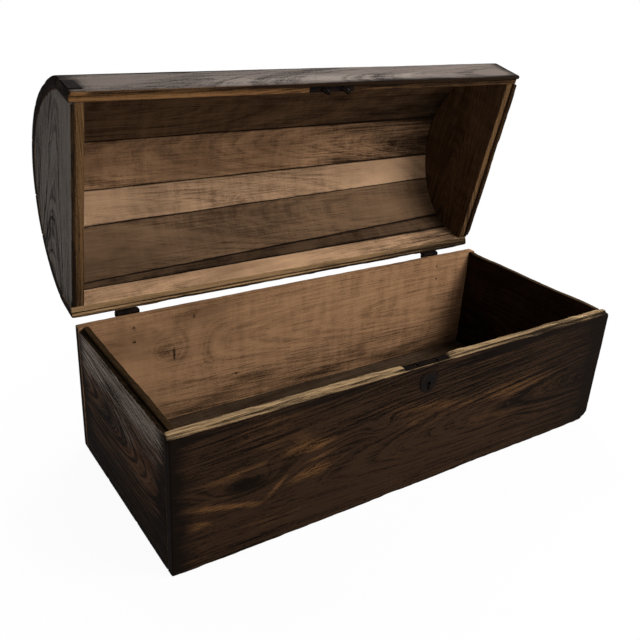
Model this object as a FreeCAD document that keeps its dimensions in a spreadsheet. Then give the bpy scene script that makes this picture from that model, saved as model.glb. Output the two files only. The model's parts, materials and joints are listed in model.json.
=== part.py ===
import FreeCAD, Part
import math
import os
import re
import Sketcher

# Dome-top plank chest with its lid standing open, in millimetres.
# X runs along the chest (left end at -X), Y from front to back, Z up.
# The origin is the middle of the underside. Lid pieces are drawn closed and then turned open.

document = FreeCAD.newDocument("dome_top_chest")
dims = document.addObject("Spreadsheet::Sheet", "dims")

DRIVING = [
    ("case_length", 1000, "length of the chest"),
    ("case_depth", 428, "front face to back face"),
    ("shelf_height", 259, "underside to the outer step of the rim"),
    ("board_thick", 20, "front, back and end boards"),
    ("bottom_thick", 18, "bottom planks"),
    ("bottom_front", 132, "width of the front bottom plank"),
    ("bottom_middle", 141, "width of the middle bottom plank"),
    ("plank_gap", 0.6, "open joint between bottom planks"),
    ("shelf_wide", 9, "outer step that carries the lid"),
    ("tongue_height", 6, "inner tongue above the step"),
    ("rim_gap", 0.5, "closed lid above the step"),
    ("lip_wide", 8.2, "lid lip outside the tongue"),
    ("recess_depth", 7, "lid recess over the tongue"),
    ("lid_overhang", 8, "lid past the back board"),
    ("rear_lip", 7.2, "lid lip behind the back board"),
    ("skirt_height", 16, "straight foot of the dome"),
    ("stave_thick", 21, "lid staves"),
    ("stave_play", 0.04, "half the open joint between staves, in degrees"),
    ("lid_end_thick", 25, "half-round lid ends"),
    ("lid_end_fit", 0.25, "lid end inside the staves"),
    ("tail_low", 11, "dovetail of the left lid end above the rim"),
    ("tail_tall", 41.5, "height of the dovetail"),
    ("tail_foot", 25, "dovetail along the chest, at its foot"),
    ("tail_crown", 21, "dovetail along the chest, at its top"),
    ("tail_root", 3, "dovetail back into its end board"),
    ("open_angle", 77.8, "lid open from closed, in degrees"),
    ("pin_offset", 17, "hinge pin behind the back face"),
    ("pin_rise", 1, "hinge pin above the step"),
    ("pin_radius", 3, "hinge pin"),
    ("pin_play", 0.05, "radial play of the pin"),
    ("pin_head", 4.4, "half the width of the square pin heads"),
    ("pin_head_long", 2, "thickness of the pin heads"),
    ("eye_radius", 7.5, "outside of the hinge eyes"),
    ("eye_clear", 0.9, "room round an eye"),
    ("knuckle_long", 14.5, "middle eye, on the lid strap"),
    ("knuckle_gap", 0.5, "end play beside the middle eye"),
    ("iron_thick", 3, "hinge iron"),
    ("eye_weld", 0.3, "extra iron where a strap runs into its eye"),
    ("leaf_bend", 14, "outside of the leaf's bend below the step"),
    ("leaf_bend_inside", 8, "inside of the leaf's bend below the step"),
    ("crank_low", 13, "inside of the strap's bend above the rim"),
    ("crank_high", 21, "outside of the strap's bend above the rim"),
    ("strap_wide", 42.5, "width of the hinge straps"),
    ("strap_fit", 0.9, "strap off the stave"),
    ("strap_tip", 14, "corner cut off the lid strap's end"),
    ("leaf_long", 62, "case leaf below the step"),
    ("left_hinge", -393, "middle of the left hinge"),
    ("right_hinge", 381, "middle of the right hinge"),
    ("lock_half", 52, "half the length of the lock plate"),
    ("lock_drop", 62, "lock plate below the step"),
    ("selvage_thick", 2.5, "lock top plate"),
    ("selvage_wide", 16, "lock top plate, front to inside"),
    ("lock_plate_thick", 2, "lock back plate"),
    ("mortise_half", 46.5, "half the length of the lock mortise"),
    ("mortise_deep", 14, "lock mortise from the inside"),
    ("lock_fit", 0.3, "wood round the lock"),
    ("mortise_rise", 5, "lock mortise above the lock's lower end"),
    ("tool_past", 4, "cut carried past a face"),
    ("staple_apart", 46, "between the two strike staples"),
    ("staple_thick", 4, "staple along the chest"),
    ("staple_wide", 8.2, "staple across, outside"),
    ("staple_leg", 1.8, "each leg of a staple"),
    ("staple_drop", 19.5, "staple below the step when closed"),
    ("staple_off", 0.9, "staple off the lock's back plate"),
    ("staple_root", 10, "staple driven into the stave"),
    ("slot_clear", 1, "slot round a staple"),
    ("bolt_thick", 3.6, "bolt, front to back"),
    ("bolt_low", 31, "underside of the bolt below the step"),
    ("bolt_bar", 10, "height of the bolt's bar"),
    ("finger_low", 14, "underside of the bolt's fingers below the step"),
    ("finger_tall", 7, "height of the bolt's fingers"),
    ("finger_tip", 1.5, "finger short of its staple"),
    ("bolt_left", 43, "bolt left of the key post"),
    ("bolt_right", 30, "bolt right of the key post"),
    ("bolt_arm", 6, "width of the arm that carries a finger"),
    ("arm_place", 2, "right arm from the key post"),
    ("notch_wide", 10, "key notch in the bolt"),
    ("notch_deep", 5, "depth of the key notch"),
    ("notch_slope", 2, "slope of the key notch's sides"),
    ("spring_left", 15, "leaf spring left of the key post"),
    ("spring_bend", 4, "bend of the leaf spring"),
    ("spring_foot", 0.6, "foot of the leaf spring"),
    ("spring_drop", 6.5, "leaf spring below the step"),
    ("spring_thick", 0.9, "leaf spring"),
    ("spring_rest", 0.5, "leaf spring off the bolt's bar"),
    ("key_drop", 37, "key post below the step"),
    ("key_post_radius", 2.4, "post that the key turns on"),
    ("key_hole", 4.5, "radius of the keyhole"),
    ("key_slot_wide", 4.6, "width of the keyhole's slot"),
    ("key_slot_long", 12, "keyhole slot below the post"),
    ("cap_half", 40, "half the length of the lock cap"),
    ("cap_thick", 1.5, "lock cap"),
    ("cap_gap", 2, "lock cap off the bottom of the mortise"),
    ("cap_low", 6, "lock cap above the lock's lower end"),
    ("scutcheon_half", 20, "half the width of the escutcheon"),
    ("scutcheon_tall", 42, "height of the escutcheon"),
    ("scutcheon_thick", 1.6, "escutcheon plate"),
    ("strike_half", 50, "half the length of the strike plate"),
    ("strike_thick", 1.8, "strike plate"),
    ("strike_wide", 11.6, "strike plate across"),
    ("strike_fit", 0.4, "strike plate off the lip"),
]

# Each stave joint: its angle from the front, and how far it stands outside the true circle, both at the
# left and at the right end. The first stave stands upright, and the hand-made lid swells towards the back.
STAVE_JOINTS = [
    (14.2, 17, 6.74, 9.78),
    (34, 32, 0, 0),
    (57, 56, 0, 0),
    (80.6, 79.7, 0.5, 0.5),
    (110.2, 109, 1.5, 1.5),
    (131, 126.3, 6, 6),
    (164.5, 154, 13, 13),
    (168.5, 166, 13.5, 13.5),
]
for index, (left, right, left_swell, right_swell) in enumerate(STAVE_JOINTS, 1):
    DRIVING.append((f"joint_{index}_left", left, "stave joint at the left end, in degrees"))
    DRIVING.append((f"joint_{index}_right", right, "stave joint at the right end, in degrees"))
    DRIVING.append((f"swell_{index}_left", left_swell, "left end of the joint outside the circle"))
    DRIVING.append((f"swell_{index}_right", right_swell, "right end of the joint outside the circle"))

for row, (alias, size, note) in enumerate(DRIVING, 1):
    dims.set(f"A{row}", alias)
    dims.set(f"B{row}", str(size))
    dims.set(f"C{row}", note)
    dims.setAlias(f"B{row}", alias)
document.recompute()
ALIASES = {alias for alias, size, note in DRIVING}

# Places that several pieces share, as expressions of the driving dimensions
FRONT = "-case_depth/2"
BACK = "case_depth/2"
FRONT_INSIDE = "-case_depth/2 + board_thick"
BACK_INSIDE = "case_depth/2 - board_thick"
LID_BACK = "(case_depth/2 + lid_overhang)"
LEFT = "-case_length/2"
RIGHT = "case_length/2"
TONGUE_TOP = "shelf_height + tongue_height"
RIM = "(shelf_height + rim_gap)"
SPRING_LINE = "(shelf_height + rim_gap + skirt_height)"
RECESS = "(shelf_height + rim_gap + recess_depth)"
PIN_Y = "(case_depth/2 + pin_offset)"
PIN_Z = "(shelf_height + pin_rise)"
LOCK_BACK = "(-case_depth/2 + board_thick - lock_plate_thick)"
LOCK_FACE = "(-case_depth/2 + board_thick - mortise_deep)"
STAPLE_Y = "(-case_depth/2 + board_thick - lock_plate_thick - staple_wide/2 - staple_off)"
CAP_BACK = "(-case_depth/2 + board_thick - mortise_deep + cap_gap)"
LAST_JOINT = len(STAVE_JOINTS)

pieces = []


def bound(expression):
    """Point each alias in an expression at the sheet."""
    def point(word):
        return f"dims.{word[0]}" if word[0] in ALIASES else word[0]
    return re.sub(r"[a-z_][a-z_0-9]*", point, str(expression))


def number(expression):
    """Work out an expression of the driving dimensions."""
    return float(dims.evalExpression(bound(expression)))


def new_body(label):
    """Start one sub-part."""
    body = document.addObject("PartDesign::Body", label)
    body.Label = label
    pieces.append(body)
    return body


def bind(owner, path, expression):
    """Bind one size of a feature to the sheet."""
    owner.setExpression(path, bound(expression))


def new_sketch(body, plane, offset="0"):
    """Start a sketch on one of the body's own planes, moved along the plane's normal."""
    sketch = body.newObject("Sketcher::SketchObject", "Sketch")
    support = [item for item in body.Origin.OriginFeatures if item.Role == plane][0]
    sketch.AttachmentSupport = [(support, "")]
    sketch.MapMode = "FlatFace"
    bind(sketch, "AttachmentOffset.Base.z", offset)
    return sketch


def bind_constraint(sketch, kind, references, expression):
    """Add one dimension to a sketch and bind it to the sheet."""
    place = sketch.addConstraint(Sketcher.Constraint(kind, *references, number(expression)))
    bind(sketch, f"Constraints[{place}]", expression)


def arc_between(start, end, radius, side):
    """Return the arc of under half a circle that bulges left (+1) or right (-1) of its chord."""
    chord = end - start
    middle = (start + end) * 0.5
    left = FreeCAD.Vector(-chord.y, chord.x, 0).normalize()
    rise = math.sqrt(max(radius ** 2 - chord.Length ** 2 / 4, 0))
    centre = middle - left * (side * rise)
    first, last = (start, end) if side < 0 else (end, start)
    angles = [math.atan2(point.y - centre.y, point.x - centre.x) for point in (first, last)]
    circle = Part.Circle(centre, FreeCAD.Vector(0, 0, 1), radius)
    return Part.ArcOfCircle(circle, angles[0], angles[1])


def outline(sketch, corners, arcs=None):
    """Draw a closed outline through corners. arcs gives the radius and side of each round edge."""
    arcs = arcs or {}
    points = [FreeCAD.Vector(number(u), number(v), 0) for u, v in corners]
    count = len(points)
    base = sketch.GeometryCount
    ends = []
    for edge in range(count):
        start, end = points[edge], points[(edge + 1) % count]
        if edge in arcs:
            radius, side = arcs[edge]
            sketch.addGeometry(arc_between(start, end, number(radius), side))
            ends.append((1, 2) if side < 0 else (2, 1))
        else:
            sketch.addGeometry(Part.LineSegment(start, end))
            ends.append((1, 2))
    for edge in range(count):
        after = (edge + 1) % count
        link = (base + edge, ends[edge][1], base + after, ends[after][0])
        sketch.addConstraint(Sketcher.Constraint("Coincident", *link))
    for edge, (u, v) in enumerate(corners):
        vertex = (-1, 1, base + edge, ends[edge][0])
        bind_constraint(sketch, "DistanceX", vertex, u)
        bind_constraint(sketch, "DistanceY", vertex, v)
        if edge in arcs:
            bind_constraint(sketch, "Radius", (base + edge,), arcs[edge][0])


def circle(sketch, u, v, radius):
    """Draw a circle."""
    centre = FreeCAD.Vector(number(u), number(v), 0)
    place = sketch.addGeometry(Part.Circle(centre, FreeCAD.Vector(0, 0, 1), number(radius)))
    bind_constraint(sketch, "DistanceX", (-1, 1, place, 3), u)
    bind_constraint(sketch, "DistanceY", (-1, 1, place, 3), v)
    bind_constraint(sketch, "Radius", (place,), radius)


def rectangle(sketch, low_u, low_v, high_u, high_v):
    """Draw a rectangle between two corners."""
    outline(sketch, [(low_u, low_v), (high_u, low_v), (high_u, high_v), (low_u, high_v)])


def pad(body, sketch, length, symmetric=True):
    """Raise a sketch into solid, both ways from its plane or one way along its normal."""
    feature = body.newObject("PartDesign::Pad", "Pad")
    feature.Profile = sketch
    feature.SideType = "Symmetric" if symmetric else "One side"
    bind(feature, "Length", length)
    document.recompute()
    return feature


def cut(body, sketch, length):
    """Cut a sketch both ways from its plane, and make sure that it took wood or iron away."""
    before = body.Shape.Volume
    feature = body.newObject("PartDesign::Pocket", "Pocket")
    feature.Profile = sketch
    feature.SideType = "Symmetric"
    bind(feature, "Length", length)
    document.recompute()
    if body.Shape.Volume > before - 0.1:
        raise RuntimeError(f"{body.Label}: a cut took nothing away")


def joint_angle(index, along):
    """Angle of a stave joint at a share of the length from the left end."""
    return f"(joint_{index}_left + (joint_{index}_right - joint_{index}_left)*({along}))"


def joint_swell(index, along):
    """Stand of a stave joint outside the circle, at a share of the length from the left end."""
    return f"(swell_{index}_left + (swell_{index}_right - swell_{index}_left)*({along}))"


def joint_point(index, along, depth, play=0):
    """Point of a stave joint, at a depth under the dome's outside."""
    reach = f"(case_depth/2 + {joint_swell(index, along)} - ({depth}))"
    angle = f"({joint_angle(index, along)} + ({play})*stave_play)"
    return (f"0 - {reach}*cos({angle})", f"{SPRING_LINE} + {reach}*sin({angle})")


# The case: front and back boards run the full length, the ends stand between them

def back_board():
    """Back board, plain up to the height of the tongue."""
    body = new_body("back_board")
    sketch = new_sketch(body, "YZ_Plane")
    rectangle(sketch, BACK_INSIDE, "0", BACK, TONGUE_TOP)
    pad(body, sketch, "case_length")


def end_board(label, face, inside, sign):
    """End board between front and back, standing on the bottom planks."""
    body = new_body(label)
    step = f"{face} {sign} shelf_wide"
    sketch = new_sketch(body, "XZ_Plane")
    outline(sketch, [
        (face, "bottom_thick"), (face, "shelf_height"), (step, "shelf_height"),
        (step, TONGUE_TOP), (inside, TONGUE_TOP), (inside, "bottom_thick"),
    ])
    pad(body, sketch, "case_depth - 2*board_thick")


def bottom_plank(label, low, high):
    """Bottom plank running the full length under the end boards."""
    body = new_body(label)
    sketch = new_sketch(body, "YZ_Plane")
    rectangle(sketch, low, "0", high, "bottom_thick")
    pad(body, sketch, "case_length")


def keyhole(body):
    """Cut the keyhole: a round over the key post and a slot below it."""
    sketch = new_sketch(body, "XZ_Plane")
    circle(sketch, "0", "shelf_height - key_drop", "key_hole")
    cut(body, sketch, "2*case_depth")
    sketch = new_sketch(body, "XZ_Plane")
    low = "shelf_height - key_drop - key_slot_long"
    rectangle(sketch, "-key_slot_wide/2", low, "key_slot_wide/2", "shelf_height - key_drop")
    cut(body, sketch, "2*case_depth")


def front_board():
    """Front board with the rim's step and tongue, and the lock let into its top edge and its inside."""
    body = new_body("front_board")
    ledge = f"{FRONT} + shelf_wide"
    sketch = new_sketch(body, "YZ_Plane")
    outline(sketch, [
        (FRONT, "0"), (FRONT, "shelf_height"), (ledge, "shelf_height"),
        (ledge, TONGUE_TOP), (FRONT_INSIDE, TONGUE_TOP), (FRONT_INSIDE, "0"),
    ])
    pad(body, sketch, "case_length")
    seat = "shelf_height - selvage_thick"
    past = f"{FRONT_INSIDE} + tool_past"
    over = f"{seat} + 1"
    sketch = new_sketch(body, "YZ_Plane")
    rectangle(sketch, f"{FRONT_INSIDE} - selvage_wide - lock_fit", seat, past, f"{TONGUE_TOP} + tool_past")
    cut(body, sketch, "2*(lock_half + lock_fit)")
    sketch = new_sketch(body, "YZ_Plane")
    rectangle(sketch, LOCK_BACK, "shelf_height - lock_drop - lock_fit", past, over)
    cut(body, sketch, "2*(lock_half + lock_fit)")
    sketch = new_sketch(body, "YZ_Plane")
    rectangle(sketch, LOCK_FACE, "shelf_height - lock_drop + mortise_rise", past, over)
    cut(body, sketch, "2*mortise_half")
    keyhole(body)


front_board()
back_board()
end_board("left_end_board", LEFT, f"{LEFT} + board_thick", "+")
end_board("right_end_board", RIGHT, f"{RIGHT} - board_thick", "-")
MIDDLE_PLANK = f"{FRONT_INSIDE} + bottom_front"
REAR_PLANK = f"{MIDDLE_PLANK} + bottom_middle"
bottom_plank("bottom_plank_front", FRONT_INSIDE, f"{MIDDLE_PLANK} - plank_gap")
bottom_plank("bottom_plank_middle", MIDDLE_PLANK, f"{REAR_PLANK} - plank_gap")
bottom_plank("bottom_plank_rear", REAR_PLANK, BACK_INSIDE)

# The lid: tapered staves bent round two half-round ends, with a recess that drops over the tongue

OUTER_ARC = "case_depth/2"
INNER_ARC = "(case_depth/2 - stave_thick)"
REAR_FOOT = "(case_depth/2 + lid_overhang - stave_thick)"


def stave_section(body, number_of, along):
    """Section of one stave at the left (0) or right (1) end."""
    sketch = new_sketch(body, "YZ_Plane", f"case_length*({along} - 0.5)")
    lip_front = f"{FRONT} + lip_wide"
    lip_back = f"{LID_BACK} - rear_lip"
    if number_of == 0:
        corners = [
            (FRONT, RIM), joint_point(1, along, "0", -1), joint_point(1, along, "stave_thick", -1),
            (f"-{INNER_ARC}", RECESS), (lip_front, RECESS), (lip_front, RIM),
        ]
        arcs = {}
    elif number_of == LAST_JOINT:
        corners = [
            joint_point(number_of, along, "0", 1), (LID_BACK, RIM), (lip_back, RIM),
            (lip_back, RECESS), (REAR_FOOT, RECESS), joint_point(number_of, along, "stave_thick", 1),
        ]
        arcs = {}
    else:
        after = number_of + 1
        corners = [
            joint_point(number_of, along, "0", 1), joint_point(after, along, "0", -1),
            joint_point(after, along, "stave_thick", -1), joint_point(number_of, along, "stave_thick", 1),
        ]
        arcs = {0: (OUTER_ARC, 1), 2: (INNER_ARC, -1)}
    outline(sketch, corners, arcs)
    return sketch


def stave(number_of):
    """One stave, lofted straight from its left section to its right one."""
    body = new_body(f"lid_stave_{number_of + 1}")
    left = stave_section(body, number_of, 0)
    right = stave_section(body, number_of, 1)
    loft = body.newObject("PartDesign::AdditiveLoft", "Loft")
    loft.Profile = left
    loft.Sections = [right]
    loft.Ruled = True
    document.recompute()
    return body


def dovetail(body, grow):
    """Sketch the dovetail of the left lid end as seen from the front, grown by a fit."""
    sketch = new_sketch(body, "XZ_Plane", f"{INNER_ARC} - tail_root")
    low = f"{RIM} + tail_low - {grow}"
    high = f"{RIM} + tail_low + tail_tall + {grow}"
    foot = f"{LEFT} + tail_foot + {grow}"
    crown = f"{LEFT} + tail_crown + {grow}"
    outline(sketch, [(LEFT, low), (foot, low), (crown, high), (LEFT, high)])
    return sketch


def lid_end(label, along, outer, inner, sign):
    """Half-round end inside the staves, its lip outside and its recess inside."""
    body = new_body(label)
    depth = "stave_thick + lid_end_fit"
    foot = f"({INNER_ARC} - lid_end_fit)"
    sketch = new_sketch(body, "YZ_Plane", f"({outer} + {inner})/2")
    corners = [(f"-{foot}", RIM)]
    corners += [joint_point(index, along, depth) for index in range(1, LAST_JOINT + 1)]
    corners += [(f"{REAR_FOOT} - lid_end_fit", RECESS), (foot, RECESS), (foot, RIM)]
    arcs = {edge: (INNER_ARC, 1) for edge in range(1, LAST_JOINT)}
    outline(sketch, corners, arcs)
    pad(body, sketch, "lid_end_thick")
    sketch = new_sketch(body, "XZ_Plane")
    lip = f"{outer} {sign} lip_wide"
    beyond = f"{inner} {sign} tool_past"
    low, high = (lip, beyond) if sign == "+" else (beyond, lip)
    rectangle(sketch, low, f"{RIM} - tool_past", high, RECESS)
    cut(body, sketch, "case_depth")
    return body


lid_pieces = [stave(number_of) for number_of in range(LAST_JOINT + 1)]
cut(lid_pieces[0], dovetail(lid_pieces[0], "lid_end_fit"), "case_depth")
lid_pieces.append(lid_end("lid_left_end", 0, LEFT, f"{LEFT} + lid_end_thick", "+"))
pad(lid_pieces[-1], dovetail(lid_pieces[-1], "0"), "stave_thick + tail_root", symmetric=False)
lid_pieces.append(lid_end("lid_right_end", 1, RIGHT, f"{RIGHT} - lid_end_thick", "-"))

# The hinges: a leaf on the back board, a strap over the staves and a pin through their eyes

EYE_ROOM = "eye_radius + eye_clear"


def bore(body):
    """Bore the eye for the pin."""
    sketch = new_sketch(body, "YZ_Plane")
    circle(sketch, PIN_Y, PIN_Z, "pin_radius + pin_play")
    cut(body, sketch, "2*strap_wide")


def case_leaf(label, middle):
    """Leaf nailed to the back, cranked out to the two outer eyes."""
    body = new_body(label)
    face = f"{BACK} + iron_thick"
    sketch = new_sketch(body, "YZ_Plane")
    outline(sketch, [
        (BACK, "shelf_height - leaf_long"), (face, "shelf_height - leaf_long"),
        (face, "shelf_height - leaf_bend"), (PIN_Y, f"{PIN_Z} - eye_radius"),
        (PIN_Y, f"{PIN_Z} - eye_radius + iron_thick + eye_weld"), (BACK, "shelf_height - leaf_bend_inside"),
    ])
    pad(body, sketch, "strap_wide")
    sketch = new_sketch(body, "YZ_Plane")
    circle(sketch, PIN_Y, PIN_Z, "eye_radius")
    pad(body, sketch, "strap_wide")
    sketch = new_sketch(body, "YZ_Plane")
    circle(sketch, PIN_Y, PIN_Z, EYE_ROOM)
    cut(body, sketch, "knuckle_long + 2*knuckle_gap")
    bore(body)
    bind(body, "Placement.Base.x", middle)


def lid_strap(label, middle):
    """Strap bent over the back of the dome and down to the middle eye."""
    body = new_body(label)
    along = f"({middle}/case_length + 0.5)"
    near = "0 - strap_fit"
    far = "0 - strap_fit - iron_thick"
    crank = [
        (PIN_Y, f"{PIN_Z} + eye_radius"), (f"{LID_BACK} + strap_fit", PIN_Z),
        (f"{LID_BACK} + strap_fit", f"{RIM} + crank_low"),
        (f"{LID_BACK} + strap_fit + iron_thick", f"{RIM} + crank_high"),
    ]
    top, shoulder, low = LAST_JOINT - 2, LAST_JOINT - 1, LAST_JOINT
    sketch = new_sketch(body, "YZ_Plane")
    corners = crank[:3]
    corners += [joint_point(index, along, near) for index in (low, shoulder, top)]
    corners += [joint_point(index, along, far) for index in (top, shoulder, low)]
    corners.append(crank[3])
    bent = f"{OUTER_ARC} + iron_thick"
    outline(sketch, corners, {3: (OUTER_ARC, -1), 4: (OUTER_ARC, -1), 6: (bent, 1), 7: (bent, 1)})
    pad(body, sketch, "strap_wide")
    sketch = new_sketch(body, "YZ_Plane")
    circle(sketch, PIN_Y, PIN_Z, EYE_ROOM)
    cut(body, sketch, "2*strap_wide")
    sketch = new_sketch(body, "YZ_Plane")
    outline(sketch, crank)
    pad(body, sketch, "knuckle_long")
    sketch = new_sketch(body, "YZ_Plane")
    circle(sketch, PIN_Y, PIN_Z, "eye_radius")
    pad(body, sketch, "knuckle_long")
    bore(body)
    tip = joint_point(top, along, far)[1]
    for side in ("-", "0 + "):
        sketch = new_sketch(body, "XZ_Plane")
        edge = f"{side}strap_wide/2"
        past = f"{side}(strap_wide/2 + tool_past)"
        outline(sketch, [
            (f"{side}(strap_wide/2 - strap_tip)", f"{tip} + tool_past"), (past, f"{tip} + tool_past"),
            (past, f"{tip} - 2*strap_tip"), (edge, f"{tip} - 2*strap_tip"),
        ])
        cut(body, sketch, "2*case_depth")
    return body


def hinge_pin(label, middle):
    """Pin with a square hammered head at each end."""
    body = new_body(label)
    sketch = new_sketch(body, "YZ_Plane")
    circle(sketch, PIN_Y, PIN_Z, "pin_radius")
    pad(body, sketch, "strap_wide + 2*knuckle_gap")
    for side in ("-", "0 + "):
        sketch = new_sketch(body, "YZ_Plane", f"{side}(strap_wide/2 + knuckle_gap + pin_head_long/2)")
        rectangle(sketch, f"{PIN_Y} - pin_head", f"{PIN_Z} - pin_head",
                  f"{PIN_Y} + pin_head", f"{PIN_Z} + pin_head")
        pad(body, sketch, "pin_head_long")
    bind(body, "Placement.Base.x", middle)


straps = {}
for side in ("left", "right"):
    case_leaf(f"hinge_leaf_{side}", f"{side}_hinge")
    straps[side] = lid_strap(f"hinge_strap_{side}", f"{side}_hinge")
    hinge_pin(f"hinge_pin_{side}", f"{side}_hinge")

# The lock in the front board: two plates, a sliding bolt with two fingers, its spring and key post


def lock_selvage():
    """Top plate of the lock, with a slot for each staple of the lid."""
    body = new_body("lock_selvage")
    sketch = new_sketch(body, "YZ_Plane")
    low_y, low_z = f"{FRONT_INSIDE} - selvage_wide", "shelf_height - selvage_thick"
    rectangle(sketch, low_y, low_z, FRONT_INSIDE, "shelf_height")
    pad(body, sketch, "2*lock_half")
    for side in ("-", "0 + "):
        sketch = new_sketch(body, "XY_Plane")
        middle = f"{side}staple_apart/2"
        reach = "(staple_thick/2 + slot_clear)"
        across = "(staple_wide/2 + slot_clear)"
        rectangle(sketch, f"{middle} - {reach}", f"{STAPLE_Y} - {across}",
                  f"{middle} + {reach}", f"{STAPLE_Y} + {across}")
        cut(body, sketch, "4*shelf_height")


def flat_plate(label, back, thick, low_x, low_z, high_x, high_z):
    """Upright plate whose back lies at a given place, thickening towards the front."""
    body = new_body(label)
    sketch = new_sketch(body, "XZ_Plane", f"0 - ({back})")
    rectangle(sketch, low_x, low_z, high_x, high_z)
    pad(body, sketch, thick, symmetric=False)
    return body


def lock_bolt():
    """Sliding bolt: a bar with a notch for the key and two fingers for the staples."""
    body = new_body("lock_bolt")
    sketch = new_sketch(body, "XZ_Plane", f"0 - ({STAPLE_Y} + bolt_thick/2)")
    low = "shelf_height - bolt_low"
    bar = f"{low} + bolt_bar"
    finger = "shelf_height - finger_low"
    top = f"{finger} + finger_tall"
    tip = "staple_apart/2 - staple_thick/2 - finger_tip"
    far_tip = "-staple_apart/2 - staple_thick/2 - finger_tip"
    notch = f"{low} + notch_deep"
    arm = "arm_place + bolt_arm"
    far_arm = "-bolt_left + bolt_arm"
    outline(sketch, [
        ("-bolt_left", low), ("-notch_wide", low), ("-notch_wide + notch_slope", notch),
        ("-notch_slope", notch), ("0", low), ("bolt_right", low), ("bolt_right", bar),
        (arm, bar), (arm, finger), (tip, finger), (tip, top), ("arm_place", top), ("arm_place", bar),
        (far_arm, bar), (far_arm, finger), (far_tip, finger), (far_tip, top), ("-bolt_left", top),
    ])
    pad(body, sketch, "bolt_thick", symmetric=False)


def lock_spring():
    """Leaf spring, bent down onto the bolt's bar."""
    body = new_body("lock_spring")
    sketch = new_sketch(body, "XZ_Plane", f"0 - ({STAPLE_Y} + bolt_thick/2)")
    top = "shelf_height - spring_drop"
    under = f"{top} - spring_thick"
    foot = "shelf_height - bolt_low + bolt_bar + spring_rest"
    outline(sketch, [
        ("-spring_left", top), ("-spring_bend", top), ("spring_foot", foot),
        ("spring_foot - spring_thick", foot), ("-spring_bend - spring_thick*2/3", under),
        ("-spring_left", under),
    ])
    pad(body, sketch, "bolt_thick", symmetric=False)


def key_post():
    """Round post that the key turns on."""
    body = new_body("key_post")
    sketch = new_sketch(body, "XZ_Plane", f"0 - {LOCK_BACK}")
    circle(sketch, "0", "shelf_height - key_drop", "key_post_radius")
    pad(body, sketch, f"{LOCK_BACK} - {CAP_BACK}", symmetric=False)


def escutcheon():
    """Shield-shaped keyhole plate on the front."""
    body = new_body("escutcheon")
    middle = "(shelf_height - key_drop)"
    shoulder = f"{middle} + scutcheon_tall*0.4"
    hip = f"{middle} - scutcheon_tall*0.05"
    sketch = new_sketch(body, "XZ_Plane", f"0 - ({FRONT})")
    outline(sketch, [
        ("-scutcheon_half", shoulder), ("scutcheon_half", shoulder), ("scutcheon_half", hip),
        ("0", f"{middle} - scutcheon_tall*0.45"), ("-scutcheon_half", hip),
    ], {0: ("scutcheon_half*1.5", 1), 2: ("scutcheon_half*1.6", 1), 3: ("scutcheon_half*1.6", 1)})
    pad(body, sketch, "scutcheon_thick", symmetric=False)
    keyhole(body)


lock_selvage()
flat_plate("lock_back_plate", FRONT_INSIDE, "lock_plate_thick", "-lock_half", "shelf_height - lock_drop",
           "lock_half", "shelf_height - selvage_thick")
lock_bolt()
lock_spring()
key_post()
cap = flat_plate("lock_cap", CAP_BACK, "cap_thick", "-cap_half", "shelf_height - lock_drop + cap_low",
                 "cap_half", "shelf_height - bolt_low + bolt_bar - cap_thick")
keyhole(cap)
escutcheon()

# The strike plate in the lid's recess, over the lock


def strike_plate():
    """Plate under the front stave that the two staples come through."""
    body = new_body("strike_plate")
    sketch = new_sketch(body, "YZ_Plane")
    low = f"{FRONT} + lip_wide + strike_fit"
    rectangle(sketch, low, f"{RECESS} - strike_thick", f"{low} + strike_wide", RECESS)
    pad(body, sketch, "2*strike_half")
    return body


lid_pieces.append(strike_plate())

# Groups of like pieces, each a set of separate solids


def group(label, solids):
    """Keep several like solids as one sub-part."""
    item = document.addObject("Part::Feature", label)
    item.Label = label
    item.Shape = Part.makeCompound(solids)
    pieces.append(item)
    return item


def frustum(foot, top, low, high):
    """Square frustum along the Y axis, from half width foot at low to half width top at high."""
    return Part.makeWedge(-foot, low, -foot, -top, -top, foot, high, foot, top, top)


def nail(place, outward, size):
    """Forged nail: a low four-sided head and a tapered square shank. outward points off the head."""
    length, head, proud = size
    under = proud - head * 0.45
    shank = frustum(head * 0.14, head * 0.4, -length, under)
    rose = frustum(head, head * 0.35, under, proud)
    solid = shank.fuse(rose)
    turn = FreeCAD.Rotation(FreeCAD.Vector(0, 1, 0), FreeCAD.Vector(*outward))
    solid.Placement = FreeCAD.Placement(FreeCAD.Vector(*place), turn)
    return solid


def post(x, z, half):
    """Square post from the lock's back plate to its cap."""
    back, front = number(LOCK_BACK), number(CAP_BACK)
    return Part.makeBox(2 * half, back - front, 2 * half, FreeCAD.Vector(x - half, front, z - half))


def staple(x):
    """U-shaped staple, its legs driven up through the strike plate into the stave."""
    middle, half = number(STAPLE_Y), number("staple_wide/2")
    leg, thick = number("staple_leg"), number("staple_thick")
    low, top = number("shelf_height - staple_drop"), number(f"{RECESS} + staple_root")
    bend = half

    def vertex(y, z):
        return FreeCAD.Vector(x - thick / 2, middle + y, z)

    def half_round(reach):
        return Part.Arc(vertex(-reach, low + bend), vertex(0, low + bend - reach), vertex(reach, low + bend))

    inner = half - leg
    edges = [
        Part.LineSegment(vertex(-half, top), vertex(-half, low + bend)), half_round(half),
        Part.LineSegment(vertex(half, low + bend), vertex(half, top)),
        Part.LineSegment(vertex(half, top), vertex(inner, top)),
        Part.LineSegment(vertex(inner, top), vertex(inner, low + bend)), half_round(inner),
        Part.LineSegment(vertex(-inner, low + bend), vertex(-inner, top)),
        Part.LineSegment(vertex(-inner, top), vertex(-half, top)),
    ]
    wire = Part.Wire(Part.__sortEdges__([edge.toShape() for edge in edges]))
    return Part.Face(wire).extrude(FreeCAD.Vector(thick, 0, 0))


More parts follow.
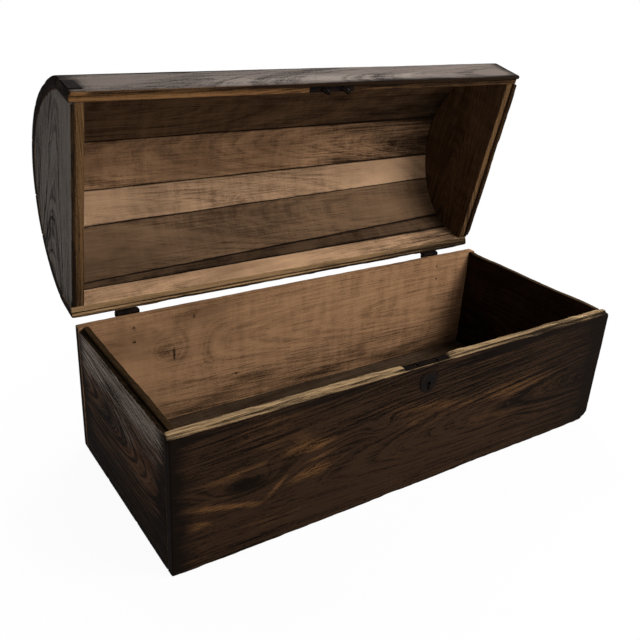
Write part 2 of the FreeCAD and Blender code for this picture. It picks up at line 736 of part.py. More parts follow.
def dome_point(angle, x):
    """Place and direction of a nail on the dome's outside, between two stave joints."""
    along = x / number("case_length") + 0.5
    joints = [(number(joint_angle(index, along)), number(joint_swell(index, along)))
              for index in range(1, LAST_JOINT + 1)]
    before = max(pair for pair in joints if pair[0] <= angle)
    after = min(pair for pair in joints if pair[0] >= angle)
    share = (angle - before[0]) / max(after[0] - before[0], 0.001)
    reach = number(BACK) + before[1] + (after[1] - before[1]) * share
    out = FreeCAD.Vector(0, -math.cos(math.radians(angle)), math.sin(math.radians(angle)))
    return FreeCAD.Vector(x, 0, number(SPRING_LINE)) + out * reach, out


def rear_slope(along):
    """Outward lean of the flat rear stave for each millimetre up."""
    y, z = (number(place) for place in joint_point(LAST_JOINT, along, "0"))
    return (y - number(LID_BACK)) / (z - number(RIM))


# Nails, each as its length, half the width of its head, and how far the head stands out
CORNER_NAIL = (52, 4.5, 0.1)
STAVE_NAIL = (42, 3.8, 0.1)
HINGE_NAIL = (24, 4.2, 1.89)
LOCK_NAIL = (12, 1.8, 0.81)
LOCK_TOP_NAIL = (16, 1.8, 0.81)
SCUTCHEON_NAIL = (6.4, 2, 0.9)
STRIKE_NAIL = (14, 2, 0.9)

# Where the nails and posts stand, in millimetres or as shares of a width
CORNER_HEIGHTS = (62, 138, 214)
BASE_PLACES = (-372, -121, 128, 366)
PLANK_SHARES = (0.25, 0.75)
STAVE_SHARES = (0.25, 0.75)
NARROW_STAVE = 14
FRONT_STAVE_HEIGHT = 27
REAR_STAVE_HEIGHT = 34
LEAF_DROPS = (22, 48)
STRAP_SHARES = (0.22, 0.5, 0.8)
STRAP_HEIGHT = 44
LOCK_PLACES = (-49.4, 49.4)
LOCK_DROPS = (16, 54)
LOCK_SUNK = 0.8
BOTTOM_SUNK = 0.3
STRAP_RAISED = 0.4
SCUTCHEON_PLACES = ((-15, 15), (15, 15), (0, -15))
STRIKE_PLACES = (-39, 39)
CAP_POSTS = (-35, 35)
BOLT_POSTS = (-26, 20)
POST_HALF = 3
SPRING_POST = (-11, 1.4)

front, back, lid_back = number(FRONT), number(BACK), number(LID_BACK)
step, rim = number("shelf_height"), number(RIM)
end_middle = number("case_length/2 - board_thick/2")
corner_nails = []
base_nails = []
for face, outward in ((front, (0, -1, 0)), (back, (0, 1, 0))):
    for x in (-end_middle, end_middle):
        for z in CORNER_HEIGHTS:
            corner_nails.append(nail((x, face, z), outward, CORNER_NAIL))
    for x in BASE_PLACES:
        base_nails.append(nail((x, face, number("bottom_thick/2")), outward, CORNER_NAIL))
group("corner_nails", corner_nails)
group("base_nails", base_nails)

plank_edges = [number(place) for place in (FRONT_INSIDE, MIDDLE_PLANK, REAR_PLANK, BACK_INSIDE)]
bottom_nails = []
for low, high in zip(plank_edges, plank_edges[1:]):
    for share in PLANK_SHARES:
        for x in (-end_middle, end_middle):
            place = (x, low + (high - low) * share, BOTTOM_SUNK)
            bottom_nails.append(nail(place, (0, 0, -1), CORNER_NAIL))
group("bottom_nails", bottom_nails)

lid_end_middle = number("case_length/2 - lid_end_thick/2")
stave_nails = []
for x in (-lid_end_middle, lid_end_middle):
    along = x / number("case_length") + 0.5
    angles = [number(joint_angle(index, along)) for index in range(1, LAST_JOINT + 1)]
    for low, high in zip(angles, angles[1:]):
        shares = STAVE_SHARES if high - low > NARROW_STAVE else (0.5,)
        for share in shares:
            place, out = dome_point(low + (high - low) * share, x)
            stave_nails.append(nail(place, out, STAVE_NAIL))
    stave_nails.append(nail((x, front, rim + FRONT_STAVE_HEIGHT), (0, -1, 0), STAVE_NAIL))
    lean = rear_slope(along)
    place = (x, lid_back + lean * REAR_STAVE_HEIGHT, rim + REAR_STAVE_HEIGHT)
    stave_nails.append(nail(place, (0, 1, -lean), STAVE_NAIL))
lid_pieces.append(group("stave_nails", stave_nails))

leaf_nails = []
strap_nails = []
iron = number("iron_thick")
strap_face = number("strap_fit + iron_thick") + STRAP_RAISED
for side in ("left", "right"):
    x = number(f"{side}_hinge")
    for drop in LEAF_DROPS:
        leaf_nails.append(nail((x, back + iron, step - drop), (0, 1, 0), HINGE_NAIL))
    along = x / number("case_length") + 0.5
    low = number(joint_angle(LAST_JOINT - 2, along))
    high = number(joint_angle(LAST_JOINT - 1, along))
    for share in STRAP_SHARES:
        place, out = dome_point(low + (high - low) * share, x)
        strap_nails.append(nail(place + out * strap_face, out, HINGE_NAIL))
    lean = rear_slope(along)
    place = (x, lid_back + lean * STRAP_HEIGHT + strap_face, rim + STRAP_HEIGHT)
    strap_nails.append(nail(place, (0, 1, -lean), HINGE_NAIL))
group("hinge_leaf_nails", leaf_nails)
lid_pieces.append(group("hinge_strap_nails", strap_nails))

key_z = number("shelf_height - key_drop")
cap_post_z = number("shelf_height - lock_drop + cap_low") + POST_HALF + 1
bolt_post_z = number("shelf_height - bolt_low") - POST_HALF - 0.4
spring_x, spring_half = SPRING_POST
spring_post_z = number("shelf_height - spring_drop") + spring_half
posts = [post(x, cap_post_z, POST_HALF) for x in CAP_POSTS]
posts += [post(x, bolt_post_z, POST_HALF) for x in BOLT_POSTS]
posts.append(post(spring_x, spring_post_z, spring_half))
group("lock_posts", posts)

lock_inside = number(FRONT_INSIDE)
lock_nails = []
for x in LOCK_PLACES:
    lock_nails.append(nail((x, number(STAPLE_Y), step - LOCK_SUNK), (0, 0, 1), LOCK_TOP_NAIL))
    for drop in LOCK_DROPS:
        lock_nails.append(nail((x, lock_inside - LOCK_SUNK, step - drop), (0, 1, 0), LOCK_NAIL))
group("lock_nails", lock_nails)

plate_face = front - number("scutcheon_thick")
group("escutcheon_nails", [nail((x, plate_face, key_z + rise), (0, -1, 0), SCUTCHEON_NAIL)
                           for x, rise in SCUTCHEON_PLACES])
apart = number("staple_apart/2")
lid_pieces.append(group("strike_staples", [staple(-apart), staple(apart)]))
strike_under = number(f"{RECESS} - strike_thick")
lid_pieces.append(group("strike_nails", [nail((x, number(STAPLE_Y), strike_under), (0, 0, -1), STRIKE_NAIL)
                                         for x in STRIKE_PLACES]))

# Stand the lid open: every lid piece turns about the hinge pin

hinge_axis = FreeCAD.Vector(0, number(PIN_Y), number(PIN_Z))
swing = FreeCAD.Rotation(FreeCAD.Vector(1, 0, 0), -number("open_angle"))
for piece in lid_pieces:
    piece.Placement = FreeCAD.Placement(FreeCAD.Vector(), swing, hinge_axis)
for side, piece in straps.items():
    shift = FreeCAD.Placement(FreeCAD.Vector(number(f"{side}_hinge"), 0, 0), FreeCAD.Rotation())
    piece.Placement = shift.multiply(FreeCAD.Placement(FreeCAD.Vector(), swing, hinge_axis))

document.recompute()
for item in document.Objects:
    if "Invalid" in item.State or "Error" in item.State:
        raise RuntimeError(f"{item.Label} failed: {item.State}")
for piece in pieces:
    if piece.Shape.isNull() or not piece.Shape.isValid():
        raise RuntimeError(f"{piece.Label} has no valid shape")

os.makedirs("parts", exist_ok=True)
for piece in pieces:
    piece.Shape.exportStep(f"parts/{piece.Label}.step")
print(len(pieces), "sub-parts written")
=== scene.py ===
import json
import math
from collections import namedtuple

import bpy
import numpy as np
from bpy.props import FloatProperty, FloatVectorProperty, PointerProperty
from mathutils import Matrix, Vector


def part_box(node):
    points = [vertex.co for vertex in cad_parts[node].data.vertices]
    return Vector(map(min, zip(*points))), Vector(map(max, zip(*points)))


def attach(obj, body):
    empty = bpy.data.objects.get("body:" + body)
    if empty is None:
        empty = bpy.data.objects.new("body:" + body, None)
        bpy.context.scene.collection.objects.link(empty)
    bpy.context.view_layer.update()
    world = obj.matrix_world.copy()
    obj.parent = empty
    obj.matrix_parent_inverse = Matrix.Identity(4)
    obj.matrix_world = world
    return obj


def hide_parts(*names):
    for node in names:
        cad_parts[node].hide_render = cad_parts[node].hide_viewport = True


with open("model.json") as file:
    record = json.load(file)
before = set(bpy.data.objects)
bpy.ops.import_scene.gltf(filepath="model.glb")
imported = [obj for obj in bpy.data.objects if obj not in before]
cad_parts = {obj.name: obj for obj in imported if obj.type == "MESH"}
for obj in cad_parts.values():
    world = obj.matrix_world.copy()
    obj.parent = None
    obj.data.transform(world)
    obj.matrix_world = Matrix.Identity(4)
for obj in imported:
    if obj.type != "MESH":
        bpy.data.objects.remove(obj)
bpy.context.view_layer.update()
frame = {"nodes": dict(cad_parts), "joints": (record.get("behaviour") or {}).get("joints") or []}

bl_info = {
    "name": "Dome-top plank chest",
    "version": (1, 0, 0),
    "blender": (4, 5, 0),
    "location": "3D View > Sidebar > Chest",
    "description": "Old plank chest with a coopered barrel lid, dressed over its packed frame",
    "category": "Add Mesh",
}

FRONT_LOW, FRONT_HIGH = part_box("front_board")
BACK_LOW, BACK_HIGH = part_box("back_board")
HINGE = next(joint for joint in frame["joints"] if joint["name"] == "lid_hinge")
OPEN_ANGLE = math.radians(HINGE["range_deg"][1])

# What each face of a board is: how dark its stain is, how bare its wood is, how far it may wave and
# how soiled it is
Face = namedtuple("Face", "stain bare give soil")
FACES = {
    "outside": Face(1.0, 0.0, 1.0, 0.0),
    "inside": Face(0.0, 0.0, 1.0, 0.0),
    "joint": Face(0.4, 0.0, 0.0, 0.5),
    "under": Face(1.0, 0.0, 0.4, 0.5),
    "shelf": Face(0.0, 1.0, 0.7, 0.62),
    "step": Face(0.44, 1.0, 0.7, 0.25),
    "tongue": Face(0.0, 1.0, 0.8, 0.0),
    "lip": Face(0.0, 1.0, 0.7, 0.72),
    "recess": Face(0.0, 1.0, 0.7, 0.05),
}

# How one board was cut from its tree: the heart's place across and behind the board, how it leans and
# wanders along the board, the seed of its noise, its knots, each as along, across, half length, half width
# and strength, and its light patches, each as along, across, half length, half width, slope and strength
Timber = namedtuple("Timber", "heart lean wander seed knots lights", defaults=((), ()))

# A board: its outline is carried from low to high along a line, and may change to another outline at its
# last end. place gives the points of a section in the chest, lay their places along, across and through the
# grain, spine the core that an end face shrinks to, the darkening after grid adds soil and painted shade
# beyond that of the faces, and carve the cuts. wear and the darkening after it are for the corner where each
# face starts, that darkening being dirt in the joints and painted shade in creases and at the foot, grid is
# the spacing round the outline and along the board, and fine and extra are more grid lines, along it and by
# face
Board = namedtuple("Board", "name body slot nodes outline low high place lay spine timber wear dirt "
                            "end_soil end_round grid shade carve fine extra last_outline",
                   defaults=(None, None, (), None, None))

# Grid lines crowd at these distances from a corner and from an end, and rings close the end faces at these
# shares of the way to the core. An outline is sampled this finely before it is blurred
NEAR_CORNER = np.array([0, 0.0005, 0.0011, 0.002, 0.0034, 0.0055])
NEAR_END = np.array([0, 0.0003, 0.0008, 0.0016, 0.003, 0.0055, 0.009])
CLOSING = np.array([0.03, 0.08, 0.15, 0.22, 0.28, 0.34, 0.5, 0.75])
SAMPLE = 0.00025

# Blur that rounds a tight corner, a worn corner and the change of finish there, and how far the wear and the
# darkening of a corner reach: dirt in the joints, painted shade in creases and at the foot
TIGHT_BLUR, WORN_BLUR, FINISH_BLUR = 0.0006, 0.0036, 0.0009
WEAR_REACH, DIRT_AND_SHADE_REACH = 0.006, 0.0022

# Where the grain's pattern starts, for each step of a board's seed
GRAIN_SHIFT = np.array([1.37, 0.71, 0.43])

# Hash of a whole-number corner: a prime for each axis and one for the seed, and shifts and factors to mix it
HASH_PRIMES, SEED_PRIME = np.array([73856093, 19349663, 83492791]), 15485863
HASH_MIXES, LAST_SHIFT = ((15, 2246822519), (13, 668265263)), 16
WORD = 0xFFFFFFFF


# Noise and outlines

def lattice(points, seed):
    """Value noise: every whole-number corner gets a hashed value from -1 to 1, and a point takes the
    blend of its eight corners, weighted by the fifth-power fade of its place between them."""
    base = np.floor(points).astype(np.int64)
    part = points - base
    fade = part ** 3 * (part * (part * 6 - 15) + 10)
    total = np.zeros(points.shape[:-1])
    for corner in np.ndindex(2, 2, 2):
        code = np.bitwise_xor.reduce((base + np.array(corner)) * HASH_PRIMES, axis=-1) ^ seed * SEED_PRIME
        code = code & WORD
        for shift, factor in HASH_MIXES:
            code = (code ^ code >> shift) * factor & WORD
        code = code ^ code >> LAST_SHIFT
        weight = np.prod(np.where(np.array(corner) == 1, fade, 1 - fade), axis=-1)
        total += weight * (code / (WORD / 2) - 1)
    return total


def wave(seed, along, across, along_size, across_size):
    """Noise over a face, with one size of swell along the grain and one across it."""
    along, across = np.broadcast_arrays(along / along_size, across / across_size)
    return lattice(np.stack([along, across, np.full_like(along, seed * 7.31)], -1), seed)


def ripple(seed, along, size):
    """Noise along a line."""
    return wave(seed, along, along * 0, size, 1)


def arc(start, end, radius, side, count=33):
    """Points of the short arc from start to end that bulges to the left (1) or right (-1) of its chord."""
    start, end = np.asarray(start, float), np.asarray(end, float)
    chord = end - start
    left = np.array([-chord[1], chord[0]]) / np.linalg.norm(chord)
    rise = math.sqrt(max(radius ** 2 - chord @ chord / 4, 0))
    centre = (start + end) / 2 - left * side * rise
    first = math.atan2(*(start - centre)[::-1])
    last = math.atan2(*(end - centre)[::-1])
    turn = (last - first + math.pi) % (2 * math.pi) - math.pi
    angles = first + turn * np.linspace(0, 1, count)
    return centre + radius * np.stack([np.cos(angles), np.sin(angles)], 1)


def distances(points):
    """Distance of each point along the line through them."""
    return np.concatenate([[0], np.cumsum(np.linalg.norm(np.diff(points, axis=0), axis=1))])


class Outline:
    """Closed outline of a board's cross-section: a run of points for each named face."""

    def __init__(self, runs):
        self.tags = [tag for tag, points in runs]
        self.runs = [np.asarray(points, float) for tag, points in runs]
        self.lengths = np.array([np.linalg.norm(np.diff(run, axis=0), axis=1).sum() for run in self.runs])
        self.starts = np.cumsum(self.lengths) - self.lengths
        self.total = self.lengths.sum()
        self.count = int(self.total / SAMPLE)
        self.even = np.arange(self.count) * self.total / self.count

    def marks(self, step, extra):
        """Where the outline is sampled, as face and share of the face: crowded at corners, even between."""
        faces, shares = [], []
        for number, wide in enumerate(self.lengths):
            close = NEAR_CORNER[NEAR_CORNER < wide * 0.4]
            count = max(2, int((wide - 2 * close[-1]) / step) + 1)
            even = np.linspace(close[-1], wide - close[-1], count)
            places = np.concatenate([close, wide - close[1:], even, (extra or {}).get(number, ())])
            at = np.unique(np.round(places, 6))
            at = at[(at >= 0) & (at < wide - 0.0001)]
            faces.append(np.full(at.shape, number))
            shares.append(at / wide)
        return np.concatenate(faces), np.concatenate(shares)

    def at(self, marks):
        """Distance of each mark round the outline."""
        return self.starts[marks[0]] + marks[1] * self.lengths[marks[0]]

    def blurred(self, values, marks, blur):
        """Read values that were sampled evenly round the outline, after a Gaussian blur round it."""
        pitch = np.fft.rfftfreq(self.count, self.total / self.count)
        damp = np.exp(-2 * (math.pi * blur * pitch) ** 2)
        smooth = np.fft.irfft(np.fft.rfft(values) * damp, self.count)
        return np.interp(self.at(marks), self.even, smooth, period=self.total)

    def read(self, marks, blur):
        """Points at the marks, with the corners rounded by the blur."""
        points = np.concatenate([run[:-1] for run in self.runs] + [self.runs[0][:1]])
        run = distances(points)
        return np.stack([self.blurred(np.interp(self.even, run, axis), marks, blur) for axis in points.T], 1)

    def face_values(self, marks, field):
        """One value of each face's finish, softened at the corners."""
        face = np.searchsorted(self.starts, self.even, side="right") - 1
        table = np.array([getattr(FACES[tag], field) for tag in self.tags])
        return self.blurred(table[face], marks, FINISH_BLUR)

    def near_corners(self, marks, weights, reach):
        """How near each mark is to a corner: its weight, falling off as a Gaussian of the distance."""
        gap = np.abs(self.at(marks)[:, None] - self.starts[None, :])
        gap = np.minimum(gap, self.total - gap)
        return (np.asarray(weights) * np.exp(-(gap / reach) ** 2)).max(1)


def polygon(tags, *corners):
    """Outline of straight faces, each from its corner to the next and the last back to the first."""
    ends = corners[1:] + corners[:1]
    return Outline([(tag, [start, end]) for tag, start, end in zip(tags.split(), corners, ends)])


# Boards carried along a line

def stations(board):
    """Places along a board, crowded at its ends and at its fine work and even between, and how far each is
    from the nearer end."""
    count = int((board.high - board.low) / board.grid[1])
    even = np.linspace(board.low + NEAR_END[-1], board.high - NEAR_END[-1], count)
    along = np.concatenate([board.low + NEAR_END, board.high - NEAR_END, even, board.fine])
    along = np.unique(np.round(along, 6))
    return along, np.maximum(np.minimum(along - board.low, board.high - along), 0)[:, None]


def heart_rings(grain, timber):
    """Ring radius at each point: its distance from the heart, which leans and wanders along the board,
    raised to a hill round each knot. The other arrays are how near a knot and a light patch are."""
    along, across, depth = grain[..., 0], grain[..., 1], grain[..., 2]
    line = np.stack([along * 2.1, along * 0, along * 0 + timber.seed], -1)
    side = across - timber.heart[0] - timber.lean[0] * along - timber.wander * lattice(line, timber.seed)
    back = depth - timber.heart[1] - timber.lean[1] * along - timber.wander * lattice(line + 9.7, timber.seed)
    rings = np.hypot(side, back)
    knots, lights = np.zeros_like(rings), np.zeros_like(rings)
    for knot_along, knot_across, long, wide, strength in timber.knots:
        gap = ((along - knot_along) / long) ** 2 + ((across - knot_across) / wide) ** 2
        rings = rings + wide * 1.5 * np.exp(-gap * 0.35)
        knots = np.maximum(knots, strength * np.exp(-gap ** 1.5))
    for light_along, light_across, long, wide, slope, strength in timber.lights:
        off = across - light_across - slope * (along - light_along)
        gap = ((along - light_along) / long) ** 2 + (off / wide) ** 2
        lights = np.maximum(lights, strength * np.exp(-gap))
    return rings, knots, lights


def outward(section):
    """Unit normals of sections: square to the line through a point's neighbours, on the side that the sign
    of the area makes the outside."""
    tangent = np.roll(section, -1, axis=1) - np.roll(section, 1, axis=1)
    normal = np.stack([tangent[..., 1], -tangent[..., 0]], -1)
    normal /= np.linalg.norm(normal, axis=-1, keepdims=True)
    first, second = section[0].T
    return normal * np.sign(np.sum(first * np.roll(second, -1) - second * np.roll(first, -1)))


def worn_sections(board, marks, along, end_gap):
    """Sections of a board at its stations, flat and swollen, and their wear. The outline is read with tight
    and with worn corners, and noise chooses between the two along each edge. Noise then swells the faces a
    little along their normals, but only inwards where the lid meets the case, and the ends draw in on a
    quarter circle."""
    first, last = board.outline, board.last_outline or board.outline
    share = ((along - board.low) / (board.high - board.low))[:, None, None]
    tight, worn = (first.read(marks, blur) * (1 - share) + last.read(marks, blur) * share
                   for blur in (TIGHT_BLUR, WORN_BLUR))

    def waves(step, along_size, across_size):
        return wave(board.timber.seed + step, along[:, None], first.at(marks), along_size, across_size)
    corner = first.near_corners(marks, board.wear, WEAR_REACH)
    bite = 0.42 + 0.75 * waves(0, 0.07, 0.12) + 0.5 * waves(1, 0.017, 0.03)
    wear = corner * np.clip(bite + 0.9 * np.exp(-end_gap / 0.012), 0, 1.6)
    flat = tight + wear[..., None] * (worn - tight)

    swell = 0.0006 * waves(2, 0.26, 0.09) + 0.0002 * waves(3, 0.06, 0.012)
    swell = swell - np.clip(first.face_values(marks, "bare") * 1.2, 0, 1) * np.maximum(swell, 0)
    draw = np.clip(1 - end_gap / board.end_round, 0, 1)
    inset = board.end_round * (1 - np.sqrt(1 - draw ** 2)) * (1 + 1.2 * corner)
    swollen = flat + outward(tight) * (first.face_values(marks, "give") * swell - inset)[..., None]
    return flat, swollen, wear


def build_board(board, material):
    """A board as one closed surface: its worn sections carried from the first end to the last, with rings
    of shrinking outlines that close the ends. The finish of each point goes along as attributes: what its
    face and the nearest corner give, and soil that falls off from the ends by a power of the distance. The
    soil also carries painted shade from the corners and from the board's own darkening."""
    outline, seed = board.outline, board.timber.seed
    marks = outline.marks(board.grid[0], board.extra)
    along, end_gap = stations(board)
    flat, section, wear = worn_sections(board, marks, along, end_gap)
    section, cut_soil = board.carve(along, section) if board.carve else (section, 0.0)

    caps = [rim + CLOSING[:, None, None] * (board.spine(rim) - rim) for rim in (section[0], section[-1])]
    rows, flat_rows = (np.concatenate([caps[0][::-1], middle, caps[1]]) for middle in (section, flat))
    count = len(CLOSING)
    line = np.pad(along, count, mode="edge")
    points = board.place(line, flat_rows)
    grain = board.lay(points)
    rings, knots, lights = heart_rings(grain, board.timber)

    stain, bare = (np.broadcast_to(outline.face_values(marks, field), wear.shape)
                   for field in ("stain", "bare"))
    # Corners darken with dirt in the joints and painted shade in creases and at the foot; faces with their
    # soil
    soil = np.maximum(outline.near_corners(marks, board.dirt, DIRT_AND_SHADE_REACH), outline.face_values(marks, "soil"))
    reach = 0.034 * (1 + 0.5 * wave(seed + 6, along[:, None], outline.at(marks), 0.2, 0.007))
    soil = np.maximum(soil, board.end_soil * stain * np.exp(-(end_gap / reach) ** 1.6))
    ends = ((count, count), (0, 0))
    soil = np.pad(np.maximum(soil, cut_soil), ends, constant_values=0.35 + 0.5 * board.end_soil)
    values = {
        "ring": rings,
        "knot": knots,
        "light": lights,
        "wear": np.pad(np.clip(wear, 0, 1), ends, mode="edge"),
        "stain": np.pad(stain, ends, constant_values=1.0),
        "bare": np.pad(bare, ends),
        # soil, plus the board's own darkening, part of which is painted shade
        "soil": soil + board.shade(points) if board.shade else soil,
    }
    seam = len(marks[0]) - np.count_nonzero(marks[0] == len(outline.tags) - 1) // 2
    mesh = closed_mesh(board.name, board.place(line, rows), grain + seed * GRAIN_SHIFT, values, seam)
    mesh.materials.append(material)
    piece = placed(board.name, mesh)
    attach(piece, board.body)
    if board.nodes:
        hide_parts(*board.nodes)


def ladder(ring):
    """Faces over a closed row of corners: rungs join its two sides, from its first corner to its middle."""
    half = len(ring) // 2
    near, far = ring[:half], ring[::-1][:half]
    faces = np.stack([near[:-1], near[1:], far[1:], far[:-1]], 1).tolist()
    return faces + ([[near[-1], ring[half], far[-1]]] if len(ring) % 2 else [])


def closed_mesh(name, points, grain, values, seam):
    """Skin rows of points that close round, and close the first and the last row from the seam on. The sign
    of the volume, summed over the skin's triangles, says whether the faces point outwards."""
    rows, count = points.shape[:2]
    index = np.arange(rows * count).reshape(rows, count)
    after = np.roll(index, -1, axis=1)
    quads = np.stack([index[:-1], after[:-1], after[1:], index[1:]], -1).reshape(-1, 4)
    faces = quads.tolist() + ladder(np.roll(index[-1], -seam))
    faces += [face[::-1] for face in ladder(np.roll(index[0], -seam))]
    corners = points.reshape(-1, 3)
    fan = corners[quads] - corners.mean(0)
    volume = sum(np.sum(fan[:, 0] * np.cross(fan[:, side], fan[:, side + 1])) for side in (1, 2))
    if volume < 0:
        faces = [face[::-1] for face in faces]
    mesh = bpy.data.meshes.new(name)
    mesh.from_pydata(corners.tolist(), [], faces)
    mesh.polygons.foreach_set("use_smooth", np.ones(len(faces), bool))
    layer = mesh.attributes.new("grain", "FLOAT_VECTOR", "POINT")
    layer.data.foreach_set("vector", grain.reshape(-1).astype(np.float32))
    for key, field in values.items():
        layer = mesh.attributes.new(key, "FLOAT", "POINT")
        layer.data.foreach_set("value", field.reshape(-1).astype(np.float32))
    mesh.update()
    return mesh


def placed(name, data):
    """A new object in the scene."""
    item = bpy.data.objects.new(name, data)
    bpy.context.scene.collection.objects.link(item)
    return item


# Places, lays, spines and soil

def along_x(line, section):
    """Points of sections carried along the chest."""
    x = np.broadcast_to(line[:, None], section.shape[:2])
    return np.stack([x, section[..., 0], section[..., 1]], -1)


def along_y(line, section):
    """Points of sections carried from front to back."""
    y = np.broadcast_to(line[:, None], section.shape[:2])
    return np.stack([section[..., 0], y, section[..., 1]], -1)


def turned(points, angle):
    """Turn points about the hinge pin by an angle, from the back towards the top."""
    y, z = HINGE["pos_m"][1:]
    back, up = points[..., 1] - y, points[..., 2] - z
    cos, sin = math.cos(angle), math.sin(angle)
    return np.stack([points[..., 0], y + back * cos - up * sin, z + back * sin + up * cos], -1)


def opened(points):
    """Turn points of the closed lid to where the lid stands open."""
    return turned(points, -OPEN_ANGLE)


def closed(points):
    """Turn points of the open lid back to where they are on the closed chest."""
    return turned(points, OPEN_ANGLE)


def lid_end_lay(points):
    """Grain that stands upright on the ends of the closed lid: along from front to back, across upwards."""
    return closed(points)[..., (1, 2, 0)]


def slab_spine(middle, low, high, half, axis=1):
    """Core line of a flat board's section, which its end faces shrink to: at the middle of its thickness,
    and along its width as far as half its thickness from either edge."""
    def spine(points):
        core = np.full_like(points, middle)
        core[:, axis] = np.clip(points[:, axis], low + half, high - half)
        return core
    return spine


def fading(low, high, axis, most):
    """Darkening that grows evenly along an axis, from none at one place to the most at another. Low on the
    back board it is painted shade.
    """
    return lambda points: most * np.clip((points[..., axis] - low) / (high - low), 0, 1)


def front_grime(shelf):
    """Soil of the front board: more towards the right, and in ragged stretches under the top edge, one of
    them longer, by a Gaussian of the distance from each."""
    right = fading(-0.1, 0.5, 0, 0.55)

    def shade(points):
        x, y, z = np.moveaxis(points, -1, 0)
        stretch = 0.25 + 0.8 * wave(14, x, z, 0.11, 0.03) + 0.8 * np.exp(-((x + 0.22) / 0.08) ** 2)
        under = np.exp(-((z - shelf + 0.008) / 0.007) ** 2) * (y < FRONT_LOW.y + 0.002)
        return right(points) + 0.8 * np.clip(stretch, 0, 1) * under
    return shade


def lid_rim_grime(rim, recess):
    """Soil of the lid's front rim: more towards the right, and clean wood where the left end is broken, by a
    Gaussian of the distance."""
    right = fading(-0.3, 0.1, 0, 0.65)

    def shade(points):
        x, _, z = np.moveaxis(closed(points), -1, 0)
        broken = np.exp(-((x - FRONT_LOW.x - 0.013) / 0.014) ** 2 - ((z - rim) / 0.007) ** 2)
        return right(points) * (z < recess + 0.0015) - 0.7 * broken
    return shade


def tongue_wear(seed, shelf, tongue, most):
    """Wear the top of a rim's tongue down by up to a given depth, in ragged bites along its length."""
    def carve(along, section):
        height = np.clip((section[..., 1] - shelf) / tongue, 0, 1)
        bite = 0.3 + 0.9 * ripple(seed, along, 0.075) + 0.4 * ripple(seed + 4, along, 0.019)
        drop = most * np.clip(bite, 0, 1)[:, None] * height ** 2
        section = section.copy()
        section[..., 1] = np.minimum(section[..., 1], shelf + tongue) - drop
        return section, 0.0
    return carve


# The case

# Cuts for the lock in the front board: the seat of its top plate with the plate's play, the bed of its back
# plate, the pit under the staple slots, the keyhole, and the round where the tongue stops short of the plate
PLATE_SINK, PLATE_WIDE, PLATE_PLAY = 0.0026, 0.0163, 0.0004
BED_SINK, BED_NEAR, BED_TALL = 0.0022, 0.003, 0.0623
PIT_INSET, PIT_FRONT, PIT_BACK, PIT_DEEP = 0.0055, 0.0062, 0.0024, 0.030
KEY_ROUND, KEY_SLOT, KEY_LONG, KEY_NEAR, KEY_DEEP = 0.0045, 0.0023, 0.012, 0.003, 0.0062
TONGUE_GAP, TONGUE_ROUND = 0.0003, 0.009

# How close beside a cut its grid lines lie
HAIR = 0.0001

# The broken right foot of the front board
FOOT_LONG, FOOT_TALL = 0.021, 0.019

# The front's light patches are worn stain, and they also paint in the front's soft sheen
FRONT_TIMBER = Timber(
    (0.10, -0.145), (0.05, -0.05), 0.022, 3,
    knots=((-0.368, 0.134, 0.052, 0.017, 1.0), (-0.097, 0.158, 0.020, 0.010, 0.4),
           (0.24, 0.075, 0.03, 0.006, 0.3)),
    lights=((-0.25, 0.168, 0.045, 0.010, 0.0, 1.0), (-0.247, 0.116, 0.040, 0.010, 0.1, 1.0),
            (-0.405, 0.104, 0.060, 0.005, -0.25, 0.85), (-0.309, 0.113, 0.022, 0.006, 0.8, 0.85),
            (-0.24, 0.140, 0.045, 0.004, 0.18, 0.7), (-0.385, 0.161, 0.060, 0.005, 0.08, 0.6),
            (-0.455, 0.086, 0.035, 0.006, -0.22, 0.7), (0.04, 0.165, 0.11, 0.014, -0.17, 0.5),
            (0.23, 0.15, 0.10, 0.024, 0.0, 0.4)))

# The small round knots are nail points. The light patches brighten the left and middle of the inside as
# painted light
BACK_TIMBER = Timber(
    (0.16, 0.13), (-0.04, 0.06), 0.02, 11,
    knots=((-0.322, 0.178, 0.040, 0.028, 0.62), (-0.172, 0.087, 0.005, 0.004, 1.0),
           (-0.269, 0.242, 0.004, 0.004, 1.0), (-0.395, 0.243, 0.004, 0.004, 1.1),
           (-0.395, 0.212, 0.004, 0.004, 1.1), (0.377, 0.242, 0.004, 0.004, 1.1),
           (0.379, 0.209, 0.004, 0.004, 1.1), (-0.313, 0.168, 0.003, 0.018, 1.1)),
    lights=((-0.40, 0.14, 0.10, 0.13, 0.0, 1.3), (-0.05, 0.2, 0.25, 0.06, 0.0, 0.6)))

# Each case end: its side, its node, how light it is inside, darker on the right partly as painted shade, and
# its timber
END_BOARDS = (
    (-1, "left_end_board", 0.25,
     Timber((0.16, -0.44), (0.1, -0.12), 0.02, 17, lights=((0.05, 0.238, 0.5, 0.046, 0.0, 0.8),))),
    (1, "right_end_board", 0.14, Timber((0.10, 0.42), (-0.08, 0.1), 0.02, 23)),
)


def rim_outline(tags, sizes, face, inside, low, high):
    """Section of an upright slab whose top has a step outside and a tongue inside."""
    step = face + math.copysign(sizes.shelf_wide, inside - face)
    shelf = high - sizes.tongue_height
    return polygon(tags, (face, low), (face, shelf), (step, shelf), (step, high), (inside, high),
                   (inside, low))


